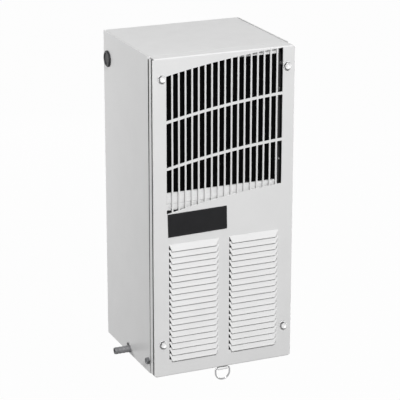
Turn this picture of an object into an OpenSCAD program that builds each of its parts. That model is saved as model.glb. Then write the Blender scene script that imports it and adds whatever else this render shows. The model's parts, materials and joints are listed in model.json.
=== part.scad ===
// Small wall-mounted cooling unit for an electrical enclosure.
// Places are given as x from the middle, depth behind the cover's face and height above the base.
// Each sub-part is then moved so that the origin is the middle of the wall bolt pattern.

/* [Casing] */
// Width of the casing
unit_w = 177; // [172:1:190]
// Height of the casing
unit_h = 387; // [384:1:400]
// Depth from the cover's face to the back wall's outer face
unit_d = 158; // [156:1:170]
// Thickness of the casing's sheet
wall = 1.5; // [1.2:0.1:2]
// Outer radius of the casing's bends
casing_bend = 2.4; // [2.1:0.1:3]
// Width of the flanges that the casing turns in behind the cover
front_flange_w = 18; // [17:0.5:20]
// Height of the top panel's turned-down sides
top_lip_h = 14; // [10:1:16]
// Height of the bottom panel's turned-up sides
bottom_lip_h = 22; // [20:1:24]
// Gap between the cover's top return and the top panel
panel_seam = 0.6; // [0.4:0.1:1]

/* [Front cover] */
// Thickness of the cover's sheet
cover_t = 1.2; // [1:0.1:1.4]
// Outer radius of the cover's bends
cover_bend = 1.6; // [1.5:0.1:2]
// Gap between the cover's returns and the casing's side walls
return_gap = 0.4; // [0.3:0.1:1]
// Size of the reliefs in the cover's returns
cover_relief = 2.6; // [1:0.1:4]
// Width of the groove before the edge strips
cover_groove = 3.4; // [2.5:0.1:4]
// Depth of an edge strip's outer leg at the top
strip_reach = 5.8; // [5:0.1:7]
// How much deeper that leg is at the bottom
strip_taper = 2; // [0:0.1:2.2]
// Width of an edge strip's front leg
strip_leg_w = 5.2; // [4.8:0.1:6]
// Width of an edge strip's foot behind the sheet
strip_foot_w = 3.5; // [3:0.1:4]
// Width of the seam between the edge strips and the casing at the top
seam_gap = 3.2; // [2.7:0.1:3.6]
// Distance of the seal's outer face from the casing's side
seal_inset = 1.8; // [1.6:0.1:2.4]
// Width of the seal
seal_w = 3.2; // [2.8:0.1:4]
// Inset of the seal's lip in the seam
seal_lip_inset = 0.5; // [0.3:0.1:1]
// Thickness of the seal in the groove
groove_seal_t = 3.4; // [3:0.1:3.6]

/* [Grille] */
// Number of columns of slots
slot_columns = 18; // [12:1:18]
// Number of rows of slots
slot_rows = 3; // [2:1:3]
// Width of a slot
slot_w = 6.2; // [4.5:0.1:6.4]
// Distance from one slot to the next
slot_pitch = 8.2; // [7.8:0.1:8.3]
// Height of a slot
slot_h = 52.4; // [45:0.1:52.6]
// Height of the bars between the rows
row_bar_h = 3.25; // [3:0.05:5]
// Distance of the first slot from the cover's left edge
grille_margin = 16.4; // [16:0.1:19]
// Radius of the arcs that end the rows
arc_r = 990; // [960:5:1100]
// Distance of the arcs' crests to the right of the middle
arc_x = 134; // [120:1:140]
// How far the highest arc's crest lies above the casing's top
arc_rise = 0.2; // [-2:0.1:0.2]

/* [Louvres] */
// Number of louvres in a bank
louvre_count = 19; // [10:1:19]
// Distance from one louvre to the next
louvre_pitch = 7.64; // [7.5:0.02:8]
// Height of the lowest louvre's lip above the base
louvre_low_h = 19.2; // [18:0.1:22]
// How far a louvre stands out at its lip
louvre_reach = 3.3; // [2.5:0.1:3.6]
// How far a louvre's lip lies below its root
louvre_drop = 7.9; // [7.7:0.1:8]
// How far a louvre's lip stops short of its root at the open end
louvre_inset = 2.8; // [2:0.1:3.5]
// How far it stops short at the closed end
cheek_run = 4.9; // [3:0.1:5.5]
// Gap between the left bank and the cover screws' washer faces
bank_left_gap = 3.5; // [2:0.1:6]
// Gap between the right bank and those washer faces
bank_right_gap = 2.8; // [2:0.1:6]
// Gap between the two banks
bank_gap = 13.1; // [8:0.1:20]
// Height of the window behind a louvre
window_h = 5.6; // [4:0.1:5.8]
// Distance of the window below the louvre's root
window_drop = 1.3; // [1.1:0.1:1.6]
// How far the window leans in at the closed end
window_lean = 1.6; // [1:0.1:2]

/* [Cover screws] */
// Distance of the cover screws from the cover's sides
cover_screw_inset = 10.4; // [10:0.1:11]
// Height of the lower cover screws
cover_screw_low_h = 42; // [35:1:50]
// Height of the upper cover screws
cover_screw_high_h = 364; // [358:1:366]
// Radius of the cover screws' washer faces
washer_r = 4.9; // [4.4:0.1:5.2]
// Thickness of those washer faces
washer_t = 1; // [0.8:0.1:1.2]
// Radius over the corners of the cover screws' heads
cover_head_r = 4.2; // [3.8:0.1:4.3]
// Height of those heads above their washer faces
cover_head_h = 3.6; // [3:0.1:4]
// Radius of the cover screws' shanks
cover_shank_r = 2.2; // [2:0.1:2.3]
// How far those shanks reach past the casing's flanges
cover_screw_reach = 3.9; // [3.7:0.1:4.2]
// Width of the square clip nuts
clip_w = 11; // [10:0.5:12]
// Thickness of the clip nuts
clip_t = 1.2; // [1:0.1:1.5]
// Radius of the clip nuts' collars
clip_collar_r = 4; // [3.5:0.1:4.5]
// Length of those collars
clip_collar_l = 2.5; // [2:0.1:2.7]

/* [Badge] */
// Width of the blank badge plate
badge_w = 74.5; // [60:0.5:76]
// Height of the badge plate
badge_h = 28; // [24:0.5:29]
// Thickness of the badge plate
badge_t = 0.8; // [0.6:0.1:1]
// Distance of the badge plate from the cover's left edge
badge_margin = 17.4; // [16:0.1:20]
// Height of the badge plate's middle above the louvres
badge_rise = 23.8; // [22:0.1:26]
// Tilt of the badge plate in degrees
badge_tilt = 1.2; // [0:0.1:1.5]

/* [Side fittings] */
// Radius of the hole plug's head
plug_r = 10; // [9:0.1:11]
// How far the plug's head stands out
plug_t = 2.4; // [2:0.1:3]
// Radius of the plug's dished middle
plug_dish_r = 7; // [6:0.1:7.5]
// Depth of that dish
plug_dish_t = 0.9; // [0.5:0.1:1.2]
// Radius of the plug's shank and of its hole
plug_shank_r = 8.6; // [8:0.1:8.8]
// Length of the plug's shank inside the wall
plug_shank_l = 4; // [3:0.5:6]
// Distance of the plug from the back
plug_from_back = 15.5; // [14:0.5:20]
// Distance of the plug below the top
plug_from_top = 31.6; // [28:0.5:40]
// Radius over the corners of the side screw's head
side_head_r = 4.3; // [4:0.1:4.6]
// Height of that head
side_head_h = 3.4; // [3:0.1:4]
// Radius of the side screw's shank
side_shank_r = 2; // [1.8:0.1:2.2]
// Length of that shank
side_shank_l = 9; // [8:0.5:10]
// Depth of the side screw behind the cover's face
side_screw_d = 19.5; // [18:0.5:24]
// Height of the side screw
side_screw_h = 15.1; // [14:0.1:16]
// Radius of the small vent hole
vent_r = 1.4; // [1:0.1:1.6]
// Distance of the vent hole behind the spigot
vent_back = 5.2; // [5.1:0.1:6.4]
// Distance of the vent hole above the spigot
vent_rise = 4.2; // [4.1:0.1:5.4]
// Radius of the vent plug's head
vent_head_r = 1.8; // [1.7:0.1:1.9]
// Thickness of the vent plug's head
vent_head_t = 1.2; // [0.8:0.1:1.6]

/* [Drain] */
// Depth of the spigot behind the cover's face
spigot_d = 81.3; // [78:0.5:84]
// Height of the spigot above the base
spigot_h = 6.6; // [6.5:0.1:7]
// Length of the spigot outside the wall
spigot_l = 20; // [16:0.5:24]
// Radius of the spigot's barbs
spigot_r = 4.3; // [4.1:0.1:4.4]
// Height of the spigot's barbs
spigot_barb_h = 0.3; // [0.2:0.1:0.6]
// Radius of the spigot's tube in the wall
spigot_core_r = 3.6; // [3.4:0.1:3.7]
// Radius of the spigot's bore
spigot_bore_r = 2.4; // [2:0.1:2.6]
// Radius of the collar against the wall
spigot_collar_r = 4.8; // [4.6:0.1:5.2]
// Thickness of that collar
spigot_collar_t = 1; // [0.8:0.1:1.6]
// Radius over the corners of the spigot's nut
spigot_nut_r = 4.9; // [4.7:0.1:4.9]
// Thickness of that nut
spigot_nut_t = 3; // [2.5:0.1:3.5]
// Outer radius of the drain hose
hose_r = 4.6; // [4.5:0.1:4.8]
// Radius of the hose's bore
hose_bore_r = 3.2; // [3.1:0.1:3.4]
// Radius of the hose's bends
hose_bend_r = 9; // [8:0.5:10]
// Distance of the hose to the left of the middle
hose_x = 58; // [56:0.5:60]
// Depth of the hose and of the pan's outlet
hose_d = 140; // [138:0.5:142]
// Length that the hose laps over what it carries to
hose_lap = 6; // [5:0.5:8]
// Wall of the drain pan
pan_wall = 1.2; // [1:0.1:1.5]
// Height of the drain pan
pan_h = 11; // [9:0.5:12]
// Distance of the drain pan's sides from the middle
pan_half_w = 73; // [71:0.5:74]

/* [Filter] */
// Distance of the filter's edges from the middle
filter_half_w = 70; // [69:0.1:70]
// Depth of the filter's front face behind the cover's face
filter_front_d = 5; // [4.6:0.1:5.2]
// Thickness of the filter
filter_t = 5.3; // [5:0.1:5.4]
// Height of the filter's lower edge
filter_low_h = 212; // [210:0.5:215]
// Height of the filter's bottom rail
filter_rail_h = 13.9; // [12:0.1:15]
// Height of the filter's top rail
filter_cap_h = 6.4; // [5:0.1:8]
// Gap between the filter and the cover's top return
filter_top_gap = 1.4; // [1:0.1:2]
// Width of the filter's side bars behind the media
filter_bar_w = 3; // [2.5:0.1:4]
// Thickness of those bars
filter_bar_t = 1.6; // [1.4:0.1:1.8]
// Thickness of the filter media
media_t = 3.4; // [3:0.1:3.6]
// Height of the pull strap's cross plate
cross_plate_h = 7.5; // [6:0.5:8]
// Thickness of the pull strap
strap_t = 1; // [0.9:0.1:1.1]
// Width of the pull strap
strap_w = 13; // [11:0.5:14]
// Distance of the strap behind the filter's front face
strap_setback = 0.8; // [0.5:0.1:1]
// Distance of the pull strap to the right of the middle
strap_x = 1; // [0:0.1:1.5]
// Outer radius of the strap's curled end
curl_r = 2.1; // [2:0.1:2.2]
// Height of the curl's axis below the base
curl_drop = 3.6; // [3.2:0.1:4]
// Thickness of the filter guides
guide_t = 0.9; // [0.8:0.1:1]
// Width of the filter guides on the casing's flanges
guide_w = 11.7; // [11:0.1:13]
// Width of their lips behind the filter
guide_lip_w = 3.6; // [3:0.1:4]
// Radius of the guide screws' heads
guide_head_r = 1.8; // [1.7:0.1:1.9]
// Height of those heads
guide_head_h = 1.2; // [1:0.1:1.4]
// Radius of the guide screws' shanks
guide_shank_r = 1.4; // [1.2:0.1:1.5]
// Length of those shanks behind the heads
guide_shank_l = 4.2; // [4:0.1:4.5]

/* [Pull ring] */
// Radius of the ring's wire
ring_wire_r = 1; // [0.9:0.05:1.1]
// Radius of the ring's round end to the wire's middle
ring_bow_r = 9.1; // [8.6:0.1:9.6]
// Length of the ring's straight sides
ring_side_l = 5.4; // [4.5:0.1:7]

/* [Condenser] */
// Distance of the condenser's fins behind the casing's flanges
coil_setback = 3.3; // [3:0.1:4]
// Depth of the condenser's fin pack
coil_t = 22.5; // [22:0.5:23]
// Height of the condenser's lower edge
coil_low_h = 212; // [210:1:214]
// Height of the condenser's fin pack
coil_h = 160; // [156:1:162]
// Distance of the end plates from the middle
coil_half_w = 66.2; // [64:0.1:66.4]
// Thickness of the end plates
end_plate_t = 1.2; // [1:0.1:1.4]
// Number of condenser fins
coil_fins = 22; // [10:1:26]
// Thickness of a fin
fin_t = 0.4; // [0.3:0.05:0.6]
// Radius of the coils' tubes
coil_tube_r = 4; // [3.5:0.1:4]
// Number of condenser tubes in a row, an even number
coil_tubes = 8; // [4:2:8]
// Distance between neighbouring condenser tubes
coil_tube_pitch = 20; // [18:0.5:20]
// Running gap between a coil's tubes and its fins and plates
tube_gap = 0.1; // [0.05:0.05:0.2]
// Length of the coils' open tube ends past their end plates
tube_end_l = 4; // [3:0.5:6]
// Width of the end plates' front flanges
plate_flange_w = 14; // [12:0.5:14]

/* [Condenser fan] */
// Height of the condenser fan's axis
fan_h = 293; // [290:1:296]
// Radius of the condenser fan over its blades
fan_r = 61; // [58:0.5:61]
// Radius of the fan's hub
fan_hub_r = 20; // [18:0.5:22]
// Depth of the fan's blades from front to back
fan_blade_t = 17; // [14:0.5:17]
// Pitch angle of the blades in degrees
fan_pitch = 32; // [25:1:36]
// Number of blades
fan_blades = 5; // [3:1:6]
// Thickness of a blade
blade_t = 1.8; // [1.4:0.1:2.2]
// Radius of the hole in the shroud
venturi_r = 64; // [63:0.5:65]
// Depth of the shroud's collar
venturi_l = 11; // [9:0.5:12]
// Thickness of the shroud's sheet
shroud_t = 1.2; // [1:0.1:1.5]
// Radius of the fans' shafts
shaft_r = 3; // [2.8:0.1:3.2]
// Running clearance of a shaft in its bore
shaft_gap = 0.05; // [0.03:0.01:0.08]
// Radius of the condenser fan motor
motor_r = 29; // [26:0.5:32]
// Length of that motor
motor_l = 26; // [22:0.5:28]
// Radius at which the motor bracket's legs stand
bracket_r = 74; // [72:0.5:75]
// Width of the motor bracket's arms
bracket_w = 9; // [8:0.5:10]
// Thickness of those arms
bracket_t = 2; // [1.8:0.1:2.5]

/* [Compressor] */
// Distance of the compressor to the right of the middle
comp_x = 3; // [1:0.5:4]
// Depth of the compressor's axis behind the cover's face
comp_d = 84; // [82:0.5:86]
// Radius of the compressor's can
comp_r = 47; // [45:0.5:48]
// Height of the can's straight side
comp_side_h = 86; // [80:1:90]
// Height of the can's dome
comp_dome_h = 20; // [16:0.5:22]
// Radius of the weld bead round the can
weld_r = 1.3; // [1:0.1:1.6]
// Distance of the compressor's feet from its axis, along x and along depth
foot_offset = 43; // [42.5:0.5:44]
// Thickness of the compressor's base plate
foot_t = 2.5; // [2:0.1:3]
// Radius of the rubber grommets
grommet_r = 9; // [8:0.5:9.5]
// Height of the grommets below the base plate
grommet_h = 14; // [12:0.5:15]
// Radius of the studs
stud_r = 3; // [2.8:0.1:3.2]
// Radius over the corners of the stud nuts
stud_nut_r = 5.8; // [5.4:0.1:6]
// Thickness of the stud nuts
stud_nut_t = 4; // [3.5:0.1:4.5]

/* [Refrigerant lines] */
// Radius of the discharge line
discharge_r = 3; // [2.6:0.1:3.2]
// Radius of the suction line
suction_r = 4; // [3.6:0.1:4.2]
// Radius of the liquid line
liquid_r = 2.5; // [2.2:0.1:2.8]
// Radius of the capillary tube
capillary_r = 1.1; // [1:0.05:1.3]
// Radius of the filter drier
drier_r = 9; // [8:0.5:10]
// Length of the drier's straight part
drier_l = 52; // [44:1:56]
// Radius of the capillary's turns
helix_r = 12; // [11:0.5:13]
// Number of those turns
helix_turns = 4; // [2:1:5]
// Rise of one turn
helix_pitch = 5; // [4:0.5:6]

/* [Enclosure side] */
// Depth of the divider panel behind the cover's face
divider_d = 94; // [93:0.5:95]
// Height of the divider's shelf
shelf_h = 150; // [149:0.5:152]
// Thickness of the divider's sheet
divider_t = 1.2; // [1:0.1:1.4]
// Thickness of the insulation
foam_t = 5; // [4:0.5:6]
// Height of the enclosure-side fan's axis
rear_fan_h = 318; // [314:1:322]
// Width of that fan's square frame
rear_fan_w = 92; // [88:1:94]
// Depth of that frame
rear_fan_t = 25; // [24:0.5:26]
// Radius of that fan over its blades
rear_fan_r = 41.5; // [39:0.5:41.5]
// Radius of the frame's bore
rear_bore_r = 43; // [42.5:0.5:43.5]
// Radius of that fan's hub
rear_hub_r = 17; // [15:0.5:18]
// Number of blades on that fan
rear_blades = 7; // [5:1:8]
// Radius of that fan's shaft
rear_shaft_r = 1.5; // [1.3:0.1:1.7]
// Distance of the fan screws from the fan's axis, along x and up
fan_screw_offset = 41; // [40:0.5:41.5]
// Radius of the guard's wires
guard_wire_r = 0.9; // [0.8:0.1:1]
// Depth of the evaporator's fin pack
evap_t = 48; // [46:0.5:48]
// Height of the evaporator's fin pack
evap_h = 47; // [44:0.5:48]
// Height of the evaporator's lower edge
evap_low_h = 215; // [213:0.5:217]
// Distance between evaporator tubes front to back
evap_pitch = 12; // [11:0.5:12.5]
// Distance between the evaporator's two rows of tubes
evap_row_pitch = 23; // [20:0.5:24]
// Number of evaporator fins
evap_fins = 18; // [10:1:24]
// Distance of the air outlet's sides from the middle
outlet_half_w = 60; // [50:1:62]
// Height of the air outlet's lower edge
outlet_low_h = 173; // [172:0.5:176]
// Height of the air outlet
outlet_h = 33; // [26:0.5:34]

/* [Back fittings] */
// Distance between the wall bolts across the unit
bolt_dx = 140; // [138:1:141]
// Distance between the wall bolts up the unit
bolt_dz = 343; // [340:1:346]
// Radius of the wall bolts' threaded holes
bolt_r = 2.5; // [2.4:0.1:2.6]
// Outer radius of the clinch nuts
clinch_r = 4.4; // [4:0.1:4.6]
// Length of the clinch nuts
clinch_l = 7; // [6:0.5:8]
// Width of the back gasket
gasket_w = 8; // [7:0.5:8.5]
// Thickness of the back gasket
gasket_t = 3; // [2.8:0.1:4]
// Distance of the back gasket from the casing's edges
gasket_inset = 1.5; // [1:0.1:2]
// Height of the supply lead's entry
entry_h = 40; // [36:1:44]
// Distance of that entry to the right of the middle
entry_x = 20; // [16:1:24]
// Radius of the entry's hole in the wall
entry_hole_r = 8; // [7.5:0.1:8.5]
// Radius of the grommet's bore
entry_bore_r = 5; // [4:0.1:5.4]
// Radius of the grommet's rims
entry_rim_r = 10; // [9.5:0.1:11]

/* [Controls] */
// Width of the control box
box_w = 28; // [26:0.5:28.5]
// Height of the control box
box_h = 110; // [100:1:112]
// Depth of the control box
box_l = 100; // [90:1:100]
// Height of the control box's underside
box_low_h = 30; // [29:0.5:34]
// Depth of the control box's front behind the cover's face
box_front_d = 24; // [22:0.5:26]
// Thickness of the control box's sheet
box_t = 1.2; // [1:0.1:1.4]
// Radius of the run capacitor
capacitor_r = 10; // [9:0.5:11]
// Length of the run capacitor
capacitor_l = 58; // [50:1:60]
// Distance of the thermostat to the right of the middle
dial_x = 53; // [52:0.5:54]
// Height of the thermostat's axis
dial_h = 80; // [76:1:84]
// Radius of the thermostat's dial
dial_r = 10; // [9:0.5:10.5]
// Thickness of the dial
dial_t = 6; // [5:0.5:6.2]
// Radius of the hole in the back wall round the dial
dial_hole_r = 12.5; // [12:0.5:13]
// Width and height of the thermostat's body
thermostat_w = 26; // [24:0.5:28]
// Depth of the thermostat's body
thermostat_t = 17; // [15:0.5:18]

/* [Hidden] */
NODES = [
    "casing_wrap", "top_panel", "bottom_panel", "front_cover", "cover_edge_strips", "cover_seal",
    "cover_screws", "clip_nuts", "badge_plate", "hole_plug", "side_screw", "drain_spigot",
    "spigot_nut", "drain_hose", "drain_pan", "filter_guides", "guide_screws", "filter_frame",
    "filter_media", "pull_strap", "pull_ring", "condenser_fins", "condenser_end_plates",
    "condenser_tubes", "fan_shroud", "fan_motor", "motor_bracket", "condenser_fan", "fan_shaft",
    "compressor", "compressor_grommets", "compressor_studs", "terminal_cover", "discharge_line",
    "suction_line", "liquid_line", "filter_drier", "capillary_tube", "divider_panel",
    "divider_insulation", "evaporator_fins", "evaporator_end_plates", "evaporator_tubes",
    "rear_fan_frame", "rear_fan_wheel", "rear_fan_guard", "rear_fan_screws", "wall_nuts",
    "back_gasket", "lead_grommet", "control_box", "control_box_lid", "lid_screws",
    "terminal_block", "relay", "run_capacitor", "fan_lead", "thermostat_body",
    "thermostat_dial", "sensing_bulb"
];
node = "all";
$fn = 48;
// Sides of a hexagon
hex_sides = 6;
// How far a cut runs past the face it goes through
over = 1;
// Clearance between pieces that lie side by side
clear = 0.3;
// Room between pieces that pass close by
room = 1;
// How much fatter a joint's ball is than its pipe
elbow_share = 1.04;

half_w = unit_w / 2;
inner_x = half_w - wall;
back_in_d = unit_d - wall;
shell_front_d = 2 * cover_t + cover_groove + strip_reach + seam_gap;
flange_back_d = shell_front_d + wall;
cover_shank_l = flange_back_d + cover_screw_reach;
flange_edge_x = half_w - front_flange_w;
mid_h = unit_h / 2;
panel_front_d = flange_back_d + clear;
cover_return = panel_front_d - panel_seam;
arc_top = unit_h + arc_rise;
grille_x = grille_margin - half_w;
bank_margin = cover_screw_inset + washer_r + bank_left_gap;
banks_w = unit_w - bank_margin - cover_screw_inset - washer_r - bank_right_gap;
louvre_w = (banks_w - bank_gap) / 2;
bank_pitch = louvre_w + bank_gap;
louvre_top_h = louvre_low_h + louvre_drop + (louvre_count - 1) * louvre_pitch;
badge_mid_h = louvre_top_h + badge_rise;
cover_screw_x = half_w - cover_screw_inset;
cover_hole_r = cover_shank_r + clear;
strip_front_d = 2 * cover_t + cover_groove;
vent_d = spigot_d + vent_back;
vent_h = spigot_h + vent_rise;
foot_x = half_w - strip_leg_w + cover_t;
filter_back_d = filter_front_d + filter_t;
filter_top_h = unit_h - cover_t - filter_top_gap;
strap_front_d = filter_front_d + strap_setback;
curl_d = strap_front_d + strap_t - curl_r;
curl_bore_r = ring_wire_r + shaft_gap;
guide_back_d = shell_front_d;
guide_front_d = guide_back_d - guide_t;
guide_x = filter_half_w + clear;
guide_web_t = guide_t;
guide_lip_d = filter_back_d + clear;
// Gap between the guide screws' heads and the guides' webs
guide_screw_gap = 2.6;
guide_screw_x = guide_x + guide_web_t + guide_head_r + guide_screw_gap;
guide_low_h = 8;
guide_top_gap = 5;
// Heights of the guide screws as shares of the casing's height
guide_screw_shares = [0.155, 0.388, 0.641, 0.861];
coil_front_d = flange_back_d + coil_setback;
coil_back_d = coil_front_d + coil_t;
coil_top_h = coil_low_h + coil_h;
// How far the end plates' flanges start above the coil's lower edge
plate_flange_inset = 4;
plate_flange_low_h = coil_low_h + plate_flange_inset;
plate_flange_high_h = cover_screw_high_h - clip_w;
coil_row_d = [coil_front_d + coil_t / 4, coil_front_d + 3 * coil_t / 4];
coil_first_h = coil_low_h + (coil_h - (coil_tubes - 1) * coil_tube_pitch) / 2;
shroud_front_d = coil_back_d + room;
shroud_back_d = shroud_front_d + shroud_t;
shroud_low_h = 206;
// Depth from the shroud to the fan's blades, and from them to the motor
fan_setback = 2;
motor_setback = 3;
fan_front_d = shroud_back_d + fan_setback;
fan_back_d = fan_front_d + fan_blade_t;
motor_front_d = fan_back_d + motor_setback;
motor_back_d = motor_front_d + motor_l;
// Bevel of the motor's ends
motor_bevel = 5;
shaft_back_d = motor_front_d + 2 * motor_l / 3;
comp_foot_h = wall + grommet_h;
comp_can_h = comp_foot_h + foot_t;
comp_top_h = comp_can_h + comp_side_h;
foot_edge = foot_offset + grommet_r;
divider_back_d = divider_d + divider_t;
foam_back_d = divider_back_d + foam_t;
shelf_top_h = shelf_h + divider_t;
foam_top_h = shelf_top_h + foam_t;
pan_low_h = foam_top_h + clear;
divider_top_h = unit_h - wall - clear;
divider_half_w = inner_x - wall - clear;
// Depth from the evaporator to the back wall
evap_setback = 4;
evap_front_d = back_in_d - evap_t - evap_setback;
evap_top_h = evap_low_h + evap_h;
evap_columns = 4;
evap_first_d = evap_front_d + (evap_t - (evap_columns - 1) * evap_pitch) / 2;
evap_rows_h = [evap_low_h + (evap_h - evap_row_pitch) / 2, evap_low_h + (evap_h + evap_row_pitch) / 2];
evap_tube_r = coil_tube_r - clear;
pan_front_d = evap_front_d - room;
pan_back_d = back_in_d - clear;
rear_fan_front_d = back_in_d - rear_fan_t;
box_left_x = inner_x - box_w;
box_back_d = box_front_d + box_l;
box_top_h = box_low_h + box_h;
box_mid_x = inner_x - box_w / 2;
dial_back_d = unit_d - clear;
dial_front_d = dial_back_d - dial_t;
// Depth from the thermostat's body to its dial
dial_setback = 3;
thermostat_back_d = dial_front_d - dial_setback;
thermostat_front_d = thermostat_back_d - thermostat_t;
hose_low_h = spigot_h;
hose_end_x = inner_x - wall - spigot_nut_t - hose_lap;

// Colours a piece and moves it from places by depth and height to the model's own frame.
module made(tint) {
    color(tint) translate([0, -unit_d, -mid_h]) children();
}

// A block between two places on each axis.
module block(x0, x1, d0, d1, h0, h1) {
    translate([x0, d0, h0]) cube([x1 - x0, d1 - d0, h1 - h0]);
}

// A round bar along x.
module rod_x(d, h, x0, x1, r) {
    translate([x0, d, h]) rotate([0, 90, 0]) cylinder(h = x1 - x0, r = r);
}

// A round bar along depth.
module rod_d(x, h, d0, d1, r) {
    translate([x, d0, h]) rotate([-90, 0, 0]) cylinder(h = d1 - d0, r = r);
}

// A round bar along height.
module rod_h(x, d, h0, h1, r) {
    translate([x, d, h0]) cylinder(h = h1 - h0, r = r);
}

// A flat outline drawn in x and height, given a thickness from depth d0.
module facing(d0, t) {
    translate([0, d0 + t, 0]) rotate([90, 0, 0]) linear_extrude(t) children();
}

// A flat outline drawn in depth and height, given a thickness from x0.
module sideways(x0, t) {
    translate([x0, 0, 0]) rotate([90, 0, 90]) linear_extrude(t) children();
}

// The same piece at both sides.
module both_sides() {
    children();
    mirror([1, 0, 0]) children();
}

// A rectangle with round corners.
module round_rect(x0, x1, y0, y1, r) {
    translate([x0 + r, y0]) square([x1 - x0 - 2 * r, y1 - y0]);
    translate([x0, y0 + r]) square([x1 - x0, y1 - y0 - 2 * r]);
    for (x = [x0 + r, x1 - r], y = [y0 + r, y1 - r]) translate([x, y]) circle(r);
}

// The outline of a sheet bent round four corners.
module bent_loop(x0, x1, y0, y1, r, t) {
    difference() {
        round_rect(x0, x1, y0, y1, r);
        round_rect(x0 + t, x1 - t, y0 + t, y1 - t, r - t);
    }
}

// A straight length of pipe between two points.
module pipe_length(a, b, r) {
    run = b - a;
    translate(a)
        rotate([0, acos(run.z / norm(run)), atan2(run.y, run.x)])
            cylinder(h = norm(run), r = r);
}

// A pipe through a list of points, with a ball at each joint.
module pipe(points, r) {
    for (i = [0:len(points) - 2]) pipe_length(points[i], points[i + 1], r);
    for (i = [1:len(points) - 2]) translate(points[i]) sphere(r * elbow_share);
}

// Half a ring of pipe in the plane of x and height, bulging towards +x.
module bend_up(x, d, h, r, pipe_r) {
    translate([x, d, h]) rotate([90, 0, 0]) rotate([0, 0, -90])
        rotate_extrude(angle = 180) translate([r, 0]) circle(pipe_r);
}

// Half a ring of pipe in the plane of x and depth, bulging towards +x.
module bend_across(x, d, h, r, pipe_r) {
    translate([x, d, h]) rotate([0, 0, -90])
        rotate_extrude(angle = 180) translate([r, 0]) circle(pipe_r);
}

// Height of the highest arc at a place across the grille.
function arc_h(x) = arc_top - arc_r + sqrt(arc_r * arc_r - (x - arc_x) * (x - arc_x));

// Each of these puts its children at a set of screws or feet.
module at_cover_screws() for (x = [-cover_screw_x, cover_screw_x], h = [cover_screw_low_h, cover_screw_high_h])
    translate([x, 0, h]) children();
module at_guide_screws() for (x = [-guide_screw_x, guide_screw_x], share = guide_screw_shares)
    translate([x, 0, share * unit_h]) children();
module at_bolts() for (x = [-bolt_dx / 2, bolt_dx / 2], z = [-bolt_dz / 2, bolt_dz / 2])
    translate([x, 0, mid_h + z]) children();
module at_fan_screws() for (x = [-1, 1], z = [-1, 1])
    translate([x * fan_screw_offset, 0, rear_fan_h + z * fan_screw_offset]) children();
module at_feet() for (x = [-1, 1], d = [-1, 1])
    translate([comp_x + x * foot_offset, comp_d + d * foot_offset, 0]) children();

// Casing

module casing_wrap() made("gainsboro") difference() {
    linear_extrude(unit_h) difference() {
        bent_loop(-half_w, half_w, shell_front_d, unit_d, casing_bend, wall);
        translate([-flange_edge_x, shell_front_d - over])
            square([2 * flange_edge_x, wall + 2 * over]);
    }
    for (h = [-over, unit_h - wall - clear])
        block(-inner_x, inner_x, shell_front_d - over, panel_front_d, h, h + wall + clear + over);
    at_cover_screws() rod_d(0, 0, shell_front_d - over, flange_back_d + over, cover_hole_r);
    at_guide_screws() rod_d(0, 0, shell_front_d - over, flange_back_d + over, guide_shank_r + tube_gap);
    at_bolts() rod_d(0, 0, back_in_d - over, unit_d + over, clinch_r);
    rod_d(0, rear_fan_h, back_in_d - over, unit_d + over, rear_bore_r);
    at_fan_screws() rod_d(0, 0, back_in_d - over, unit_d + over, guide_shank_r + tube_gap);
    block(-outlet_half_w, outlet_half_w, back_in_d - over, unit_d + over, outlet_low_h, outlet_low_h + outlet_h);
    rod_d(dial_x, dial_h, back_in_d - over, unit_d + over, dial_hole_r);
    rod_d(entry_x, entry_h, back_in_d - over, unit_d + over, entry_hole_r);
    rod_x(unit_d - plug_from_back, unit_h - plug_from_top, -half_w - over, -inner_x + over, plug_shank_r);
    rod_x(spigot_d, spigot_h, -half_w - over, -inner_x + over, spigot_core_r + tube_gap);
    rod_x(vent_d, vent_h, -half_w - over, -inner_x + over, vent_r);
    rod_x(side_screw_d, side_screw_h, -half_w - over, -inner_x + over, side_shank_r + tube_gap);
}

// The plan of what fits inside the casing, behind the cover's returns.
module panel_plan() round_rect(-inner_x, inner_x, panel_front_d, back_in_d, casing_bend - wall);

module top_panel() made("gainsboro") intersection() {
    translate([0, unit_d, 0]) rotate([90, 0, 0]) linear_extrude(unit_d)
        bent_loop(-inner_x, inner_x, mid_h, unit_h, casing_bend, wall);
    translate([0, 0, unit_h - top_lip_h]) linear_extrude(top_lip_h + over) panel_plan();
}

module bottom_panel() made("gainsboro") difference() {
    intersection() {
        translate([0, unit_d, 0]) rotate([90, 0, 0]) linear_extrude(unit_d)
            bent_loop(-inner_x, inner_x, 0, mid_h, casing_bend, wall);
        translate([0, 0, -over]) linear_extrude(bottom_lip_h + over) panel_plan();
    }
    rod_x(spigot_d, spigot_h, -half_w, -inner_x + wall + over, spigot_core_r + tube_gap);
    rod_x(vent_d, vent_h, -half_w, -inner_x + wall + over, vent_r);
    rod_x(side_screw_d, side_screw_h, -half_w, -inner_x + wall + over, side_shank_r + tube_gap);
    at_feet() rod_h(0, 0, -over, wall + over, stud_r);
}

// Front cover

// One grille slot's outline, between two arcs.
module slot_outline(column, row) {
    x0 = grille_x + column * slot_pitch;
    x1 = x0 + slot_w;
    fall = row * (slot_h + row_bar_h);
    polygon([
        [x0, arc_h(x0) - fall - slot_h], [x1, arc_h(x1) - fall - slot_h],
        [x1, arc_h(x1) - fall], [x0, arc_h(x0) - fall]
    ]);
}

// The window behind one louvre.
module window_outline(x0, root_h) {
    top_h = root_h - window_drop;
    x1 = x0 + louvre_w - cheek_run;
    polygon([
        [x0, top_h - window_h], [x1 - window_lean, top_h - window_h], [x1, top_h], [x0, top_h]
    ]);
}

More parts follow.
